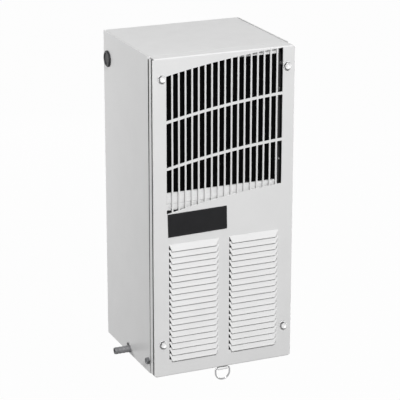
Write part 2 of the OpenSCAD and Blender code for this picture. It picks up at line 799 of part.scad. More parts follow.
// A louvre's hood, open at its left end.
module louvre_hood(x0, root_h) {
    slope = norm([louvre_reach, louvre_drop]);
    translate([x0, 0, root_h]) rotate([90 - atan(louvre_reach / louvre_drop), 0, 0])
        translate([0, 0, -cover_t]) linear_extrude(cover_t)
            polygon([[0, 0], [louvre_w, 0], [louvre_w - cheek_run, -slope], [louvre_inset, -slope]]);
}

// The formed right end that closes a louvre against the sheet.
module louvre_cheek(x0, root_h) {
    root_x = x0 + louvre_w;
    lip_x = root_x - cheek_run;
    low_h = root_h - louvre_drop;
    in_d = cover_t / 2;
    intersection() {
        translate([0, 0, low_h]) linear_extrude(louvre_drop) polygon([
            [lip_x - tube_gap, -louvre_reach + tube_gap], [root_x - tube_gap, in_d],
            [root_x - 2 * cover_t, in_d], [lip_x - cover_t, -louvre_reach + cover_t]
        ]);
        sideways(lip_x - 2 * cover_t, 2 * cheek_run) polygon([
            [in_d, root_h - in_d], [-louvre_reach, low_h - in_d], [cover_t, low_h - in_d]
        ]);
    }
}

// Runs its children at each louvre's place.
module at_louvres() {
    for (bank = [0, 1], i = [0:louvre_count - 1]) {
        $louvre_x = bank_margin - half_w + bank * bank_pitch;
        $louvre_h = louvre_top_h - i * louvre_pitch;
        children();
    }
}

module front_cover() made("whitesmoke") {
    facing(0, cover_t) difference() {
        translate([-half_w, cover_bend]) square([unit_w, unit_h - 2 * cover_bend]);
        for (column = [0:slot_columns - 1], row = [0:slot_rows - 1]) slot_outline(column, row);
        at_louvres() window_outline($louvre_x, $louvre_h);
        for (x = [-cover_screw_x, cover_screw_x], h = [cover_screw_low_h, cover_screw_high_h])
            translate([x, h]) circle(cover_hole_r);
    }
    both_sides() block(foot_x + clear, half_w, cover_t / 2, 2 * cover_t, cover_bend, unit_h - cover_bend);
    difference() {
        sideways(-inner_x + return_gap, 2 * (inner_x - return_gap)) intersection() {
            bent_loop(0, unit_d, 0, unit_h, cover_bend, cover_t);
            union() {
                square([cover_return, cover_bend + tube_gap]);
                translate([0, unit_h - cover_bend - tube_gap]) square([cover_return, cover_bend + tube_gap]);
            }
        }
        block(-guide_x - clear, guide_x + clear, cover_t, filter_back_d + room, -over, cover_t + over);
        both_sides() block(inner_x - return_gap - cover_relief, half_w, cover_return - cover_relief, unit_d,
            -over, unit_h + over);
    }
    at_louvres() {
        louvre_hood($louvre_x, $louvre_h);
        louvre_cheek($louvre_x, $louvre_h);
    }
}

module cover_edge_strips() made("whitesmoke") both_sides() {
    translate([0, 0, cover_bend]) linear_extrude(unit_h - 2 * cover_bend) polygon([
        [half_w - cover_t, strip_front_d], [foot_x, strip_front_d], [foot_x, cover_t],
        [foot_x - strip_foot_w, cover_t], [foot_x - strip_foot_w, 2 * cover_t],
        [foot_x - cover_t, 2 * cover_t], [foot_x - cover_t, strip_front_d + cover_t],
        [half_w - cover_t, strip_front_d + cover_t]
    ]);
    sideways(half_w - cover_t, cover_t) polygon([
        [strip_front_d, cover_bend], [strip_front_d + strip_reach + strip_taper, cover_bend],
        [strip_front_d + strip_reach, unit_h - cover_bend], [strip_front_d, unit_h - cover_bend]
    ]);
}

module cover_seal() made("black") both_sides() {
    block(half_w - seal_inset - seal_w, half_w - seal_inset, strip_front_d + cover_t, shell_front_d,
        2 * wall, unit_h - 2 * wall);
    sideways(half_w - seal_inset - seal_w / 2, seal_inset + seal_w / 2 - seal_lip_inset) polygon([
        [strip_front_d + strip_reach + strip_taper + clear, 2 * wall], [shell_front_d, 2 * wall],
        [shell_front_d, unit_h - 2 * wall], [strip_front_d + strip_reach + clear, unit_h - 2 * wall]
    ]);
    block(foot_x, foot_x + groove_seal_t, 2 * cover_t, strip_front_d, cover_bend, unit_h - cover_bend);
}

module cover_screws() made("silver") at_cover_screws() {
    rod_d(0, 0, -washer_t, 0, washer_r);
    difference() {
        translate([0, -washer_t, 0]) rotate([90, 0, 0]) cylinder(h = cover_head_h, r = cover_head_r, $fn = hex_sides);
        rod_d(0, 0, -washer_t - cover_head_h - over, -washer_t - 2 * cover_head_h / 3, cover_shank_r);
    }
    rod_d(0, 0, 0, cover_shank_l, cover_shank_r);
}

module clip_nuts() made("darkgray") at_cover_screws() difference() {
    union() {
        block(-clip_w / 2, clip_w / 2, flange_back_d, flange_back_d + clip_t, -clip_w / 2, clip_w / 2);
        rod_d(0, 0, flange_back_d, flange_back_d + clip_t + clip_collar_l, clip_collar_r);
    }
    rod_d(0, 0, flange_back_d - over, cover_shank_l + over, cover_shank_r + shaft_gap);
}

module badge_plate() made("black")
    translate([badge_margin - half_w + badge_w / 2, 0, badge_mid_h]) rotate([0, -badge_tilt, 0])
        block(-badge_w / 2, badge_w / 2, -badge_t, 0, -badge_h / 2, badge_h / 2);

// Side fittings

module hole_plug() made("dimgray") {
    rod_x(vent_d, vent_h, -half_w - vent_head_t, -half_w, vent_head_r);
    rod_x(vent_d, vent_h, -half_w - vent_head_t, -inner_x + wall, vent_r - shaft_gap);
    translate([-half_w, unit_d - plug_from_back, unit_h - plug_from_top]) rotate([0, -90, 0]) difference() {
        rotate_extrude() polygon([
            [0, -plug_shank_l], [plug_shank_r - shaft_gap, -plug_shank_l], [plug_shank_r - shaft_gap, 0],
            [plug_r, 0], [plug_r, plug_t / 2], [plug_r - plug_t / 2, plug_t], [0, plug_t]
        ]);
        translate([0, 0, plug_t - plug_dish_t]) cylinder(h = plug_t, r = plug_dish_r);
        translate([0, 0, -plug_shank_l - over]) cylinder(h = plug_shank_l + plug_t / 2, r = plug_dish_r);
    }
}

module side_screw() made("silver") {
    rod_x(side_screw_d, side_screw_h, -half_w, -half_w + side_shank_l, side_shank_r);
    translate([-half_w, side_screw_d, side_screw_h]) rotate([0, -90, 0])
        cylinder(h = side_head_h, r = side_head_r, $fn = hex_sides);
    rod_x(side_screw_d, side_screw_h, -half_w - washer_t / 2, -half_w, side_head_r + clear);
}

module drain_spigot() made("gray") difference() {
    translate([-half_w, spigot_d, spigot_h]) rotate([0, -90, 0]) rotate_extrude() {
        step = (spigot_l - spigot_collar_t) / 4;
        polygon(concat(
            [[0, hose_end_x - half_w], [hose_bore_r - tube_gap, hose_end_x - half_w],
                [hose_bore_r - tube_gap, -wall - wall - spigot_nut_t], [spigot_core_r, -wall - wall - spigot_nut_t],
                [spigot_core_r, 0], [spigot_collar_r, 0], [spigot_collar_r, spigot_collar_t]],
            [for (i = [0:3]) each [
                [spigot_r - spigot_barb_h, spigot_collar_t + i * step + tube_gap],
                [spigot_r, spigot_collar_t + i * step + step / 2],
                [spigot_r - spigot_barb_h, spigot_collar_t + (i + 1) * step]
            ]],
            [[0, spigot_l]]
        ));
    }
    rod_x(spigot_d, spigot_h, -half_w - spigot_l - over, -hose_end_x + over, spigot_bore_r);
}

module spigot_nut() made("gray") difference() {
    translate([-inner_x + wall, spigot_d, spigot_h]) rotate([90, 0, 90])
        cylinder(h = spigot_nut_t, r = spigot_nut_r, $fn = hex_sides);
    rod_x(spigot_d, spigot_h, -inner_x, -inner_x + wall + spigot_nut_t + over, spigot_core_r + shaft_gap);
}

// The hose's outer form and its bore share this route: down, forward under the compressor, then left.
module hose_route(r, extra) {
    low_turn_h = hose_low_h + hose_bend_r;
    turn_d = spigot_d + hose_bend_r;
    rod_h(-hose_x, hose_d, low_turn_h, shelf_h - room + extra, r);
    translate([-hose_x, hose_d - hose_bend_r, low_turn_h]) rotate([0, 90, 0])
        rotate_extrude(angle = 90) translate([hose_bend_r, 0]) circle(r);
    rod_d(-hose_x, hose_low_h, turn_d, hose_d - hose_bend_r, r);
    translate([-hose_x - hose_bend_r, turn_d, hose_low_h]) rotate([0, 0, -90])
        rotate_extrude(angle = 90) translate([hose_bend_r, 0]) circle(r);
    rod_x(spigot_d, hose_low_h, -hose_end_x - hose_lap - extra, -hose_x - hose_bend_r, r);
}

module drain_hose() made("lightgray") difference() {
    hose_route(hose_r, 0);
    hose_route(hose_bore_r, over);
}

module drain_pan() made("white") difference() {
    union() {
        block(-pan_half_w, pan_half_w, pan_front_d, pan_back_d, pan_low_h, pan_low_h + pan_h);
        rod_h(-hose_x, hose_d, shelf_h - hose_lap, pan_low_h + pan_wall, hose_bore_r - tube_gap);
    }
    block(-pan_half_w + pan_wall, pan_half_w - pan_wall, pan_front_d + pan_wall, pan_back_d - pan_wall,
        pan_low_h + pan_wall, pan_low_h + pan_h + over);
    rod_h(-hose_x, hose_d, shelf_h - hose_lap - over, pan_low_h + pan_wall + over, spigot_bore_r);
}

// Filter

module filter_guides() made("darkslategray") difference() {
    both_sides() {
        block(guide_x - guide_lip_w, guide_x + guide_web_t, guide_lip_d, guide_lip_d + guide_t,
            guide_low_h, unit_h - guide_top_gap);
        block(guide_x, guide_x + guide_w, guide_front_d, guide_back_d, guide_low_h, unit_h - guide_top_gap);
        block(guide_x, guide_x + guide_web_t, filter_front_d, guide_back_d, guide_low_h, unit_h - guide_top_gap);
    }
    at_guide_screws() rod_d(0, 0, 0, guide_back_d + over, guide_shank_r + tube_gap);
    at_cover_screws() rod_d(0, 0, 0, guide_back_d + over, cover_hole_r);
}

module guide_screws() made("gray") at_guide_screws() {
    rod_d(0, 0, guide_front_d - guide_head_h, guide_front_d, guide_head_r);
    rod_d(0, 0, guide_front_d, guide_front_d + guide_shank_l, guide_shank_r);
}

module filter_frame() made("lightgray") {
    block(-filter_half_w, filter_half_w, filter_front_d, filter_back_d, filter_low_h, filter_low_h + filter_rail_h);
    block(-filter_half_w, filter_half_w, filter_front_d, filter_back_d, filter_top_h - filter_cap_h, filter_top_h);
    both_sides() block(filter_half_w - filter_bar_w, filter_half_w, filter_back_d - filter_bar_t, filter_back_d,
        filter_low_h, filter_top_h);
}

module filter_media() made("black")
    block(-filter_half_w, filter_half_w, filter_back_d - filter_bar_t - media_t, filter_back_d - filter_bar_t,
        filter_low_h + filter_rail_h, filter_top_h - filter_cap_h);

module pull_strap() made("lightgray") difference() {
    union() {
        block(-filter_half_w, filter_half_w, strap_front_d, strap_front_d + strap_t,
            filter_low_h - cross_plate_h, filter_low_h);
        block(strap_x - strap_w / 2, strap_x + strap_w / 2, strap_front_d, strap_front_d + strap_t,
            -curl_drop, filter_low_h - cross_plate_h / 2);
        rod_x(curl_d, -curl_drop, strap_x - strap_w / 2, strap_x + strap_w / 2, curl_r);
    }
    rod_x(curl_d, -curl_drop, strap_x - strap_w, strap_x + strap_w, curl_bore_r);
}

module pull_ring() made("silver") translate([strap_x, curl_d, -curl_drop]) {
    rod_x(0, 0, -ring_bow_r, ring_bow_r, ring_wire_r);
    for (x = [-ring_bow_r, ring_bow_r]) {
        rod_h(x, 0, -ring_side_l, 0, ring_wire_r);
        translate([x, 0, 0]) sphere(ring_wire_r * elbow_share);
    }
    translate([0, 0, -ring_side_l]) rotate([90, 0, 0]) rotate([0, 0, 180])
        rotate_extrude(angle = 180) translate([ring_bow_r, 0]) circle(ring_wire_r);
}

// Condenser

// Places of the condenser's tubes, as depth and height.
condenser_places = [for (d = coil_row_d, i = [0:coil_tubes - 1]) [d, coil_first_h + i * coil_tube_pitch]];
// Places of the evaporator's tubes, as depth and height.
evaporator_places = [for (h = evap_rows_h, i = [0:evap_columns - 1]) [evap_first_d + i * evap_pitch, h]];

// Sheets normal to x, drilled where the tubes pass.
module drilled_sheet(x0, t, d0, d1, h0, h1, places, hole_r) {
    sideways(x0, t) difference() {
        translate([d0, h0]) square([d1 - d0, h1 - h0]);
        for (p = places) translate(p) circle(hole_r);
    }
}

module condenser_fins() made("dimgray") for (i = [0:coil_fins - 1])
    drilled_sheet(-coil_half_w + end_plate_t + (i + 1) * 2 * (coil_half_w - end_plate_t) / (coil_fins + 1) - fin_t / 2,
        fin_t, coil_front_d, coil_back_d, coil_low_h, coil_top_h, condenser_places, coil_tube_r + tube_gap);

module condenser_end_plates() made("darkslategray") difference() {
    both_sides() {
        drilled_sheet(coil_half_w - end_plate_t, end_plate_t, flange_back_d, shroud_front_d,
            coil_low_h, coil_top_h, condenser_places, coil_tube_r + tube_gap);
        block(coil_half_w - end_plate_t, coil_half_w + plate_flange_w, flange_back_d, flange_back_d + end_plate_t,
            plate_flange_low_h, plate_flange_high_h);
    }
    at_guide_screws() rod_d(0, 0, shell_front_d, coil_front_d, guide_shank_r + tube_gap);
}

module condenser_tubes() made("peru") {
    r = coil_tube_pitch / 2;
    row_gap = (coil_row_d[1] - coil_row_d[0]) / 2;
    top_h = coil_first_h + (coil_tubes - 1) * coil_tube_pitch;
    for (p = condenser_places) rod_x(p[0], p[1], -coil_half_w - tube_end_l, coil_half_w + tube_end_l, coil_tube_r);
    for (d = coil_row_d) {
        for (i = [0:2:coil_tubes - 2])
            bend_up(coil_half_w + tube_end_l, d, coil_first_h + i * coil_tube_pitch + r, r, coil_tube_r);
        for (i = [1:2:coil_tubes - 3]) mirror([1, 0, 0])
            bend_up(coil_half_w + tube_end_l, d, coil_first_h + i * coil_tube_pitch + r, r, coil_tube_r);
    }
    mirror([1, 0, 0]) bend_across(coil_half_w + tube_end_l, coil_row_d[0] + row_gap, top_h, row_gap, coil_tube_r);
}

module fan_shroud() made("lightgray") difference() {
    union() {
        block(-divider_half_w, divider_half_w, shroud_front_d, shroud_back_d, shroud_low_h, unit_h - top_lip_h / 3);
        rod_d(0, fan_h, shroud_front_d, shroud_back_d + venturi_l, venturi_r + shroud_t);
    }
    rod_d(0, fan_h, shroud_front_d - over, shroud_back_d + venturi_l + over, venturi_r);
}

// A blade that leans across the fan's depth, cut to a round tip.
module fan_blades_of(count, hub_r, tip_r, depth, thickness, pitch) intersection() {
    for (i = [0:count - 1]) rotate([0, 0, i * 360 / count]) translate([hub_r - thickness, 0, depth / 2])
        rotate([pitch, 0, 0]) cube([2 * tip_r, 2 * depth * cos(pitch), thickness], center = false);
    cylinder(h = depth, r = tip_r);
}

module condenser_fan() made("black")
    translate([0, fan_back_d, fan_h]) rotate([90, 0, 0]) difference() {
        union() {
            fan_blades_of(fan_blades, fan_hub_r, fan_r, fan_blade_t, blade_t, fan_pitch);
            cylinder(h = fan_blade_t, r = fan_hub_r);
        }
        translate([0, 0, -over]) cylinder(h = fan_blade_t - 2 * blade_t + over, r = shaft_r + shaft_gap);
    }

module fan_shaft() made("silver")
    rod_d(0, fan_h, fan_front_d + 3 * blade_t, shaft_back_d, shaft_r);

module fan_motor() made("gray") difference() {
    translate([0, motor_front_d, fan_h]) rotate([-90, 0, 0]) rotate_extrude() polygon([
        [0, 0], [motor_r - motor_bevel, 0], [motor_r, motor_bevel], [motor_r, motor_l - motor_bevel],
        [motor_r - motor_bevel, motor_l], [0, motor_l]
    ]);
    rod_d(0, fan_h, motor_front_d - over, shaft_back_d + room, shaft_r + shaft_gap);
}

// How far behind the motor's front face the bracket's arms hold it
bracket_setback = 5;

module motor_bracket() made("darkgray") translate([0, 0, fan_h]) for (i = [0:3])
    rotate([0, 45 + 90 * i, 0]) {
        block(motor_r + tube_gap, bracket_r, motor_front_d + bracket_setback, motor_front_d + bracket_setback + bracket_t,
            -bracket_w / 2, bracket_w / 2);
        block(bracket_r - bracket_t, bracket_r, shroud_back_d, motor_front_d + bracket_setback + bracket_t,
            -bracket_w / 2, bracket_w / 2);
    }

// Compressor

module compressor() made("black") difference() {
    union() {
        translate([comp_x, comp_d, comp_can_h]) rotate_extrude() polygon(concat(
            [[0, 0], [comp_r, 0], [comp_r, comp_side_h / 2 - weld_r], [comp_r + weld_r, comp_side_h / 2],
                [comp_r, comp_side_h / 2 + weld_r]],
            [for (a = [0:15:90]) [comp_r * cos(a), comp_side_h + comp_dome_h * sin(a)]]
        ));
        block(comp_x - foot_edge, comp_x + foot_edge, comp_d - foot_edge, comp_d + foot_edge, comp_foot_h, comp_can_h);
        translate(discharge_stub) mirror([0, 0, 1]) cylinder(h = comp_dome_h, r = discharge_r + stub_wall);
        translate(suction_stub) rotate([0, 90, 0]) cylinder(h = stub_run, r = suction_r + stub_wall);
    }
    at_feet() rod_h(0, 0, comp_foot_h - over, comp_can_h + over, grommet_r - 2 * foot_t + clear);
}

// Length of the compressor's stubs, and their wall round the lines
stub_run = 12;
stub_wall = 1.5;
// Distance of the discharge stub from the compressor's axis, along x and along depth
discharge_offset = 18;
// Depth and height of the suction stub, and how far it starts inside the can's side
suction_run_d = 110;
suction_port_h = 62;
suction_inset = 4.5;
discharge_stub = [comp_x - discharge_offset, comp_d - discharge_offset, comp_top_h + comp_dome_h + stub_wall];
suction_stub = [comp_x - comp_r + suction_inset, suction_run_d, suction_port_h];

module compressor_grommets() made("black") at_feet() translate([0, 0, wall]) rotate_extrude() polygon([
    [stud_r + tube_gap, 0], [grommet_r, 0], [grommet_r, grommet_h],
    [grommet_r - 2 * foot_t, grommet_h], [grommet_r - 2 * foot_t, grommet_h + foot_t],
    [grommet_r - 1.5 * foot_t, grommet_h + foot_t], [grommet_r - 1.5 * foot_t, grommet_h + 2 * foot_t],
    [stud_r + tube_gap, grommet_h + 2 * foot_t]
]);

module compressor_studs() made("silver") at_feet() {
    top_h = comp_foot_h + 2 * foot_t;
    rod_h(0, 0, 0, top_h + 2 * stud_nut_t, stud_r);
    translate([0, 0, top_h]) cylinder(h = stud_nut_t, r = stud_nut_r, $fn = hex_sides);
}

terminal_cover_w = 30;
terminal_cover_h = 38;
module terminal_cover() made("black") difference() {
    block(comp_x, box_left_x - room, comp_d - terminal_cover_w / 2, comp_d + terminal_cover_w / 2,
        comp_top_h - terminal_cover_h, comp_top_h);
    rod_h(comp_x, comp_d, comp_foot_h, comp_top_h + comp_dome_h, comp_r + tube_gap);
}

// Refrigerant lines

coil_port_x = -coil_half_w - tube_end_l;
left_run_x = -half_w + 2 * suction_r + clear + clear;
// Step between the lines' runs
line_step = 10;
discharge_run_h = shroud_low_h - line_step;
liquid_run_h = discharge_run_h - line_step;
drier_x = -half_w + wall + drier_r + line_step / 2;
drier_d = 52;
drier_low_h = shelf_h - drier_l;
drier_neck = 6;

module discharge_line() made("peru") pipe([
    discharge_stub,
    [discharge_stub.x, discharge_stub.y, discharge_run_h],
    [left_run_x, discharge_stub.y, discharge_run_h],
    [left_run_x, coil_row_d[1], discharge_run_h],
    [left_run_x, coil_row_d[1], coil_first_h],
    [coil_port_x, coil_row_d[1], coil_first_h]
], discharge_r);

module liquid_line() made("peru") pipe([
    [coil_port_x, coil_row_d[0], coil_first_h],
    [left_run_x, coil_row_d[0], coil_first_h],
    [left_run_x, coil_row_d[0], liquid_run_h],
    [drier_x, drier_d, liquid_run_h],
    [drier_x, drier_d, drier_low_h + drier_l + drier_neck]
], liquid_r);

module filter_drier() made("peru") translate([drier_x, drier_d, drier_low_h]) rotate_extrude() polygon([
    [0, -drier_neck], [liquid_r, -drier_neck], [drier_r, 0], [drier_r, drier_l],
    [liquid_r, drier_l + drier_neck], [0, drier_l + drier_neck]
]);

helix_x = -half_w + wall + helix_r + line_step;
helix_d = comp_d - helix_r / 2;
helix_low_h = 2 * bottom_lip_h;
helix_sides = 6;
helix_steps = 20;

// A point of the helix's middle line, by turns from its lower end.
function helix_point(t) = [helix_x - helix_r * cos(360 * t), helix_d - helix_r * sin(360 * t), helix_low_h + helix_pitch * t];

// The capillary's coiled part, one ring of points after another.
module helix() {
    rings = helix_turns * helix_steps;
    points = [for (i = [0:rings], k = [0:helix_sides - 1])
        let (t = i / helix_steps, a = 360 * k / helix_sides, out = helix_r + capillary_r * cos(a))
            [helix_x - out * cos(360 * t), helix_d - out * sin(360 * t),
                helix_low_h + helix_pitch * t + capillary_r * sin(a)]];
    sides = [for (i = [0:rings - 1], k = [0:helix_sides - 1])
        let (a = i * helix_sides + k, b = i * helix_sides + (k + 1) % helix_sides)
            each [[a, b, b + helix_sides], [a, b + helix_sides, a + helix_sides]]];
    first = [for (k = [1:helix_sides - 2]) [0, k + 1, k]];
    last = [for (k = [1:helix_sides - 2]) [rings * helix_sides, rings * helix_sides + k, rings * helix_sides + k + 1]];
    polyhedron(points = points, faces = concat(sides, first, last));
}

capillary_run_d = suction_run_d + line_step;
capillary_turn_x = left_run_x + line_step;

module capillary_tube() made("peru") {
    helix();
    pipe([
        [drier_x, drier_d, drier_low_h - drier_neck],
        [drier_x, drier_d, helix_low_h],
        helix_point(0)
    ], capillary_r);
    pipe([
        helix_point(helix_turns),
        [helix_x - helix_r, helix_d, shelf_h - 2.5 * line_step],
        [capillary_turn_x, capillary_run_d, shelf_h - 2 * line_step],
        [left_run_x, capillary_run_d, shelf_h - 1.5 * line_step],
        [left_run_x, capillary_run_d, evap_rows_h[1]],
        [left_run_x, evap_first_d, evap_rows_h[1]],
        [coil_port_x, evap_first_d, evap_rows_h[1]]
    ], capillary_r);
}

module suction_line() made("peru") pipe([
    [coil_port_x, evap_first_d, evap_rows_h[0]],
    [left_run_x, evap_first_d, evap_rows_h[0]],
    [left_run_x, suction_run_d, evap_rows_h[0] - line_step],
    [left_run_x, suction_run_d, suction_stub.z],
    suction_stub
], suction_r);

// Enclosure side

pipe_notch_d = capillary_run_d + line_step / 2;
pipe_notch_x = left_run_x + suction_r + room;

// The way through the shelf for the lines, the bulb's capillary and the hose.
module pipe_notch() {
    block(-half_w, pipe_notch_x, suction_run_d - suction_r - room, pipe_notch_d,
        shelf_h - over, foam_top_h + over);
    block(bulb_run_x - bulb_capillary_r - room, half_w, bulb_d - bulb_capillary_r - room,
        bulb_d + bulb_capillary_r + room, shelf_h - over, foam_top_h + over);
    rod_h(-hose_x, hose_d, shelf_h - over, foam_top_h + over, hose_r + clear);
}

module divider_panel() made("lightgray") difference() {
    union() {
        block(-divider_half_w, divider_half_w, divider_d, divider_back_d, shelf_h, divider_top_h);
        block(-divider_half_w, divider_half_w, divider_d, back_in_d, shelf_h, shelf_top_h);
    }
    pipe_notch();
}

module divider_insulation() made("dimgray") difference() {
    union() {
        block(-divider_half_w, divider_half_w, divider_back_d, foam_back_d, shelf_top_h, divider_top_h);
        block(-divider_half_w, divider_half_w, divider_back_d, back_in_d, shelf_top_h, foam_top_h);
    }
    pipe_notch();
}

module evaporator_fins() made("silver") for (i = [0:evap_fins - 1])
    drilled_sheet(-coil_half_w + end_plate_t + (i + 1) * 2 * (coil_half_w - end_plate_t) / (evap_fins + 1) - fin_t / 2,
        fin_t, evap_front_d, evap_front_d + evap_t, evap_low_h, evap_top_h, evaporator_places, evap_tube_r + tube_gap);

module evaporator_end_plates() made("silver") both_sides()
    drilled_sheet(coil_half_w - end_plate_t, end_plate_t, evap_front_d - room, back_in_d,
        evap_low_h - room, evap_top_h + room, evaporator_places, evap_tube_r + tube_gap);

module evaporator_tubes() made("peru") {
    r = evap_pitch / 2;
    port = coil_half_w + tube_end_l;
    last_d = evap_first_d + (evap_columns - 1) * evap_pitch;
    for (p = evaporator_places) rod_x(p[0], p[1], -port, port, evap_tube_r);
    for (h = evap_rows_h) {
        for (i = [0, 2]) bend_across(port, evap_first_d + i * evap_pitch + r, h, r, evap_tube_r);
        mirror([1, 0, 0]) bend_across(port, evap_first_d + evap_pitch + r, h, r, evap_tube_r);
    }
    mirror([1, 0, 0]) bend_up(port, last_d, evap_rows_h[0] + evap_row_pitch / 2, evap_row_pitch / 2, evap_tube_r);
}

rear_strut_w = 5;
rear_strut_t = 3.2;
rear_wheel_gap = 2;
rear_motor_t = 7;
rear_wheel_front_d = rear_fan_front_d + room;
rear_wheel_back_d = back_in_d - rear_motor_t - rear_wheel_gap;

module rear_fan_frame() made("black") difference() {
    union() {
        difference() {
            block(-rear_fan_w / 2, rear_fan_w / 2, rear_fan_front_d, back_in_d,
                rear_fan_h - rear_fan_w / 2, rear_fan_h + rear_fan_w / 2);
            rod_d(0, rear_fan_h, rear_fan_front_d - over, back_in_d + over, rear_bore_r);
        }
        rod_d(0, rear_fan_h, back_in_d - rear_motor_t, back_in_d, rear_hub_r + room);
        translate([0, 0, rear_fan_h]) for (i = [0:3]) rotate([0, 45 + 90 * i, 0])
            block(rear_hub_r, rear_bore_r + room, back_in_d - rear_strut_t, back_in_d,
                -rear_strut_w / 2, rear_strut_w / 2);
    }
    rod_d(0, rear_fan_h, back_in_d - rear_motor_t - over, back_in_d - room, rear_shaft_r + shaft_gap);
    at_fan_screws() rod_d(0, 0, rear_fan_front_d - over, back_in_d + over, guide_shank_r + tube_gap);
}

module rear_fan_wheel() made("dimgray")
    translate([0, rear_wheel_back_d, rear_fan_h]) rotate([90, 0, 0]) {
        depth = rear_wheel_back_d - rear_wheel_front_d;
        fan_blades_of(rear_blades, rear_hub_r, rear_fan_r, depth, blade_t, fan_pitch + 4);
        cylinder(h = depth, r = rear_hub_r);
        translate([0, 0, -rear_motor_t]) cylinder(h = rear_motor_t, r = rear_shaft_r);
    }

guard_d = unit_d + guard_wire_r + shaft_gap;
guard_shares = [0.3, 0.54, 0.78, 1];
module rear_fan_guard() made("silver") translate([0, guard_d, rear_fan_h]) {
    for (share = guard_shares) rotate([90, 0, 0]) rotate_extrude() translate([share * rear_bore_r, 0]) circle(guard_wire_r);
    for (a = [45, 135, 225, 315]) rotate([0, a, 0])
        rod_x(0, 0, guard_shares[0] * rear_bore_r, fan_screw_offset * sqrt(2) - guide_head_r - guard_wire_r, guard_wire_r * elbow_share);
    for (a = [45, 135, 225, 315]) rotate([0, a, 0]) translate([fan_screw_offset * sqrt(2), 0, 0]) rotate([90, 0, 0])
        rotate_extrude() translate([guide_head_r + guard_wire_r, 0]) circle(guard_wire_r);
}

module rear_fan_screws() made("silver") at_fan_screws() {
    rod_d(0, 0, rear_fan_front_d + rear_fan_t / 2, unit_d, guide_shank_r);
    rod_d(0, 0, unit_d, unit_d + 2 * guard_wire_r, guide_head_r - tube_gap);
}

// Back fittings

// How far the clinch nuts' rims reach past their shanks
clinch_rim = 1;

module wall_nuts() made("silver") at_bolts() difference() {
    union() {
        rod_d(0, 0, unit_d - clinch_l, unit_d, clinch_r - shaft_gap);
        rod_d(0, 0, unit_d - clinch_l, back_in_d, clinch_r + clinch_rim);
    }
    rod_d(0, 0, unit_d - clinch_l - over, unit_d + over, bolt_r);
}

module back_gasket() made("black") facing(unit_d, gasket_t) difference() {
    translate([-half_w + gasket_inset, gasket_inset]) square([unit_w - 2 * gasket_inset, unit_h - 2 * gasket_inset]);
    translate([-half_w + gasket_inset + gasket_w, gasket_inset + gasket_w])
        square([unit_w - 2 * (gasket_inset + gasket_w), unit_h - 2 * (gasket_inset + gasket_w)]);
}

module lead_grommet() made("black") translate([entry_x, unit_d, entry_h]) rotate([90, 0, 0])
    rotate_extrude() polygon([
        [entry_bore_r, -wall], [entry_rim_r, -wall], [entry_rim_r, 0], [entry_hole_r - tube_gap, 0],
        [entry_hole_r - tube_gap, wall], [entry_rim_r, wall], [entry_rim_r, 2 * wall], [entry_bore_r, 2 * wall]
    ]);

// Controls

module control_box() made("silver") difference() {
    block(box_left_x, inner_x, box_front_d, box_back_d, box_low_h, box_top_h);
    block(box_left_x + box_t, inner_x - box_t, box_front_d - over, box_back_d - box_t,
        box_low_h + box_t, box_top_h - box_t);
    rod_h(box_mid_x, lead_d, box_top_h - box_t - over, box_top_h + over, lead_r + clear);
}

lid_screw_inset = 7;
lid_tab = 9;
lid_head_r = 2.8;

module control_box_lid() made("silver") difference() {
    union() {
        block(box_left_x, inner_x - room, box_front_d - box_t, box_front_d, box_low_h, box_top_h);
        block(box_left_x + box_t + clear, inner_x - box_t - room - clear, box_front_d, box_front_d + lid_tab,
            box_low_h + box_t + clear, box_low_h + 2 * box_t + clear);
    }
    for (h = [box_low_h + lid_screw_inset, box_top_h - lid_screw_inset])
        rod_d(box_mid_x, h, box_front_d - box_t - over, box_front_d + over, guide_shank_r + tube_gap);
}

module lid_screws() made("silver")
    for (h = [box_low_h + lid_screw_inset, box_top_h - lid_screw_inset]) {
        rod_d(box_mid_x, h, box_front_d - box_t - guide_head_h, box_front_d - box_t, lid_head_r);
        rod_d(box_mid_x, h, box_front_d - box_t, box_front_d + guide_shank_l, guide_shank_r);
    }

terminal_l = 54;
terminal_w = 16;
terminal_t = 10;
terminal_cell = terminal_l / 6;
// Distance of the block and the relay from the box's back, and from its floor and ceiling
fitting_gap = 5;
fitting_lift = 10;

module terminal_block() made("ivory") difference() {
    block(inner_x - box_t - terminal_t, inner_x - box_t, box_back_d - box_t - terminal_l - fitting_gap,
        box_back_d - box_t - fitting_gap, box_low_h + fitting_lift, box_low_h + fitting_lift + terminal_w);
    for (i = [0:5])
        block(inner_x - box_t - terminal_t - over, inner_x - box_t - terminal_t / 2,
            box_back_d - box_t - fitting_gap - terminal_l + (i + 1 / 6) * terminal_cell,
            box_back_d - box_t - fitting_gap - terminal_l + (i + 5 / 6) * terminal_cell,
            box_low_h + fitting_lift + terminal_w / 4, box_low_h + fitting_lift + 3 * terminal_w / 4);
}

relay_w = 18;
relay_l = 30;
relay_h = 30;
relay_front_d = box_back_d - box_t - relay_l - fitting_gap;
relay_top_h = box_top_h - box_t - fitting_lift;
relay_pin_reach = 2.5;
relay_pin_h = 5;

module relay() made("dimgray") {
    block(inner_x - box_t - relay_w, inner_x - box_t, relay_front_d, relay_front_d + relay_l,
        relay_top_h - relay_h, relay_top_h);
    for (i = [1, 2, 3])
        block(inner_x - box_t - relay_w - relay_pin_reach, inner_x - box_t - relay_w,
            relay_front_d + i * relay_l / 4, relay_front_d + i * relay_l / 4 + wall,
            relay_top_h - relay_h / 2 - relay_pin_h, relay_top_h - relay_h / 2);
}

capacitor_gap = 15;
capacitor_d = box_front_d + capacitor_r + capacitor_gap;
capacitor_shoulder = 5;
tab_w = 5;
tab_h = 10;
strap_band_t = 0.8;
strap_band_h = 10;

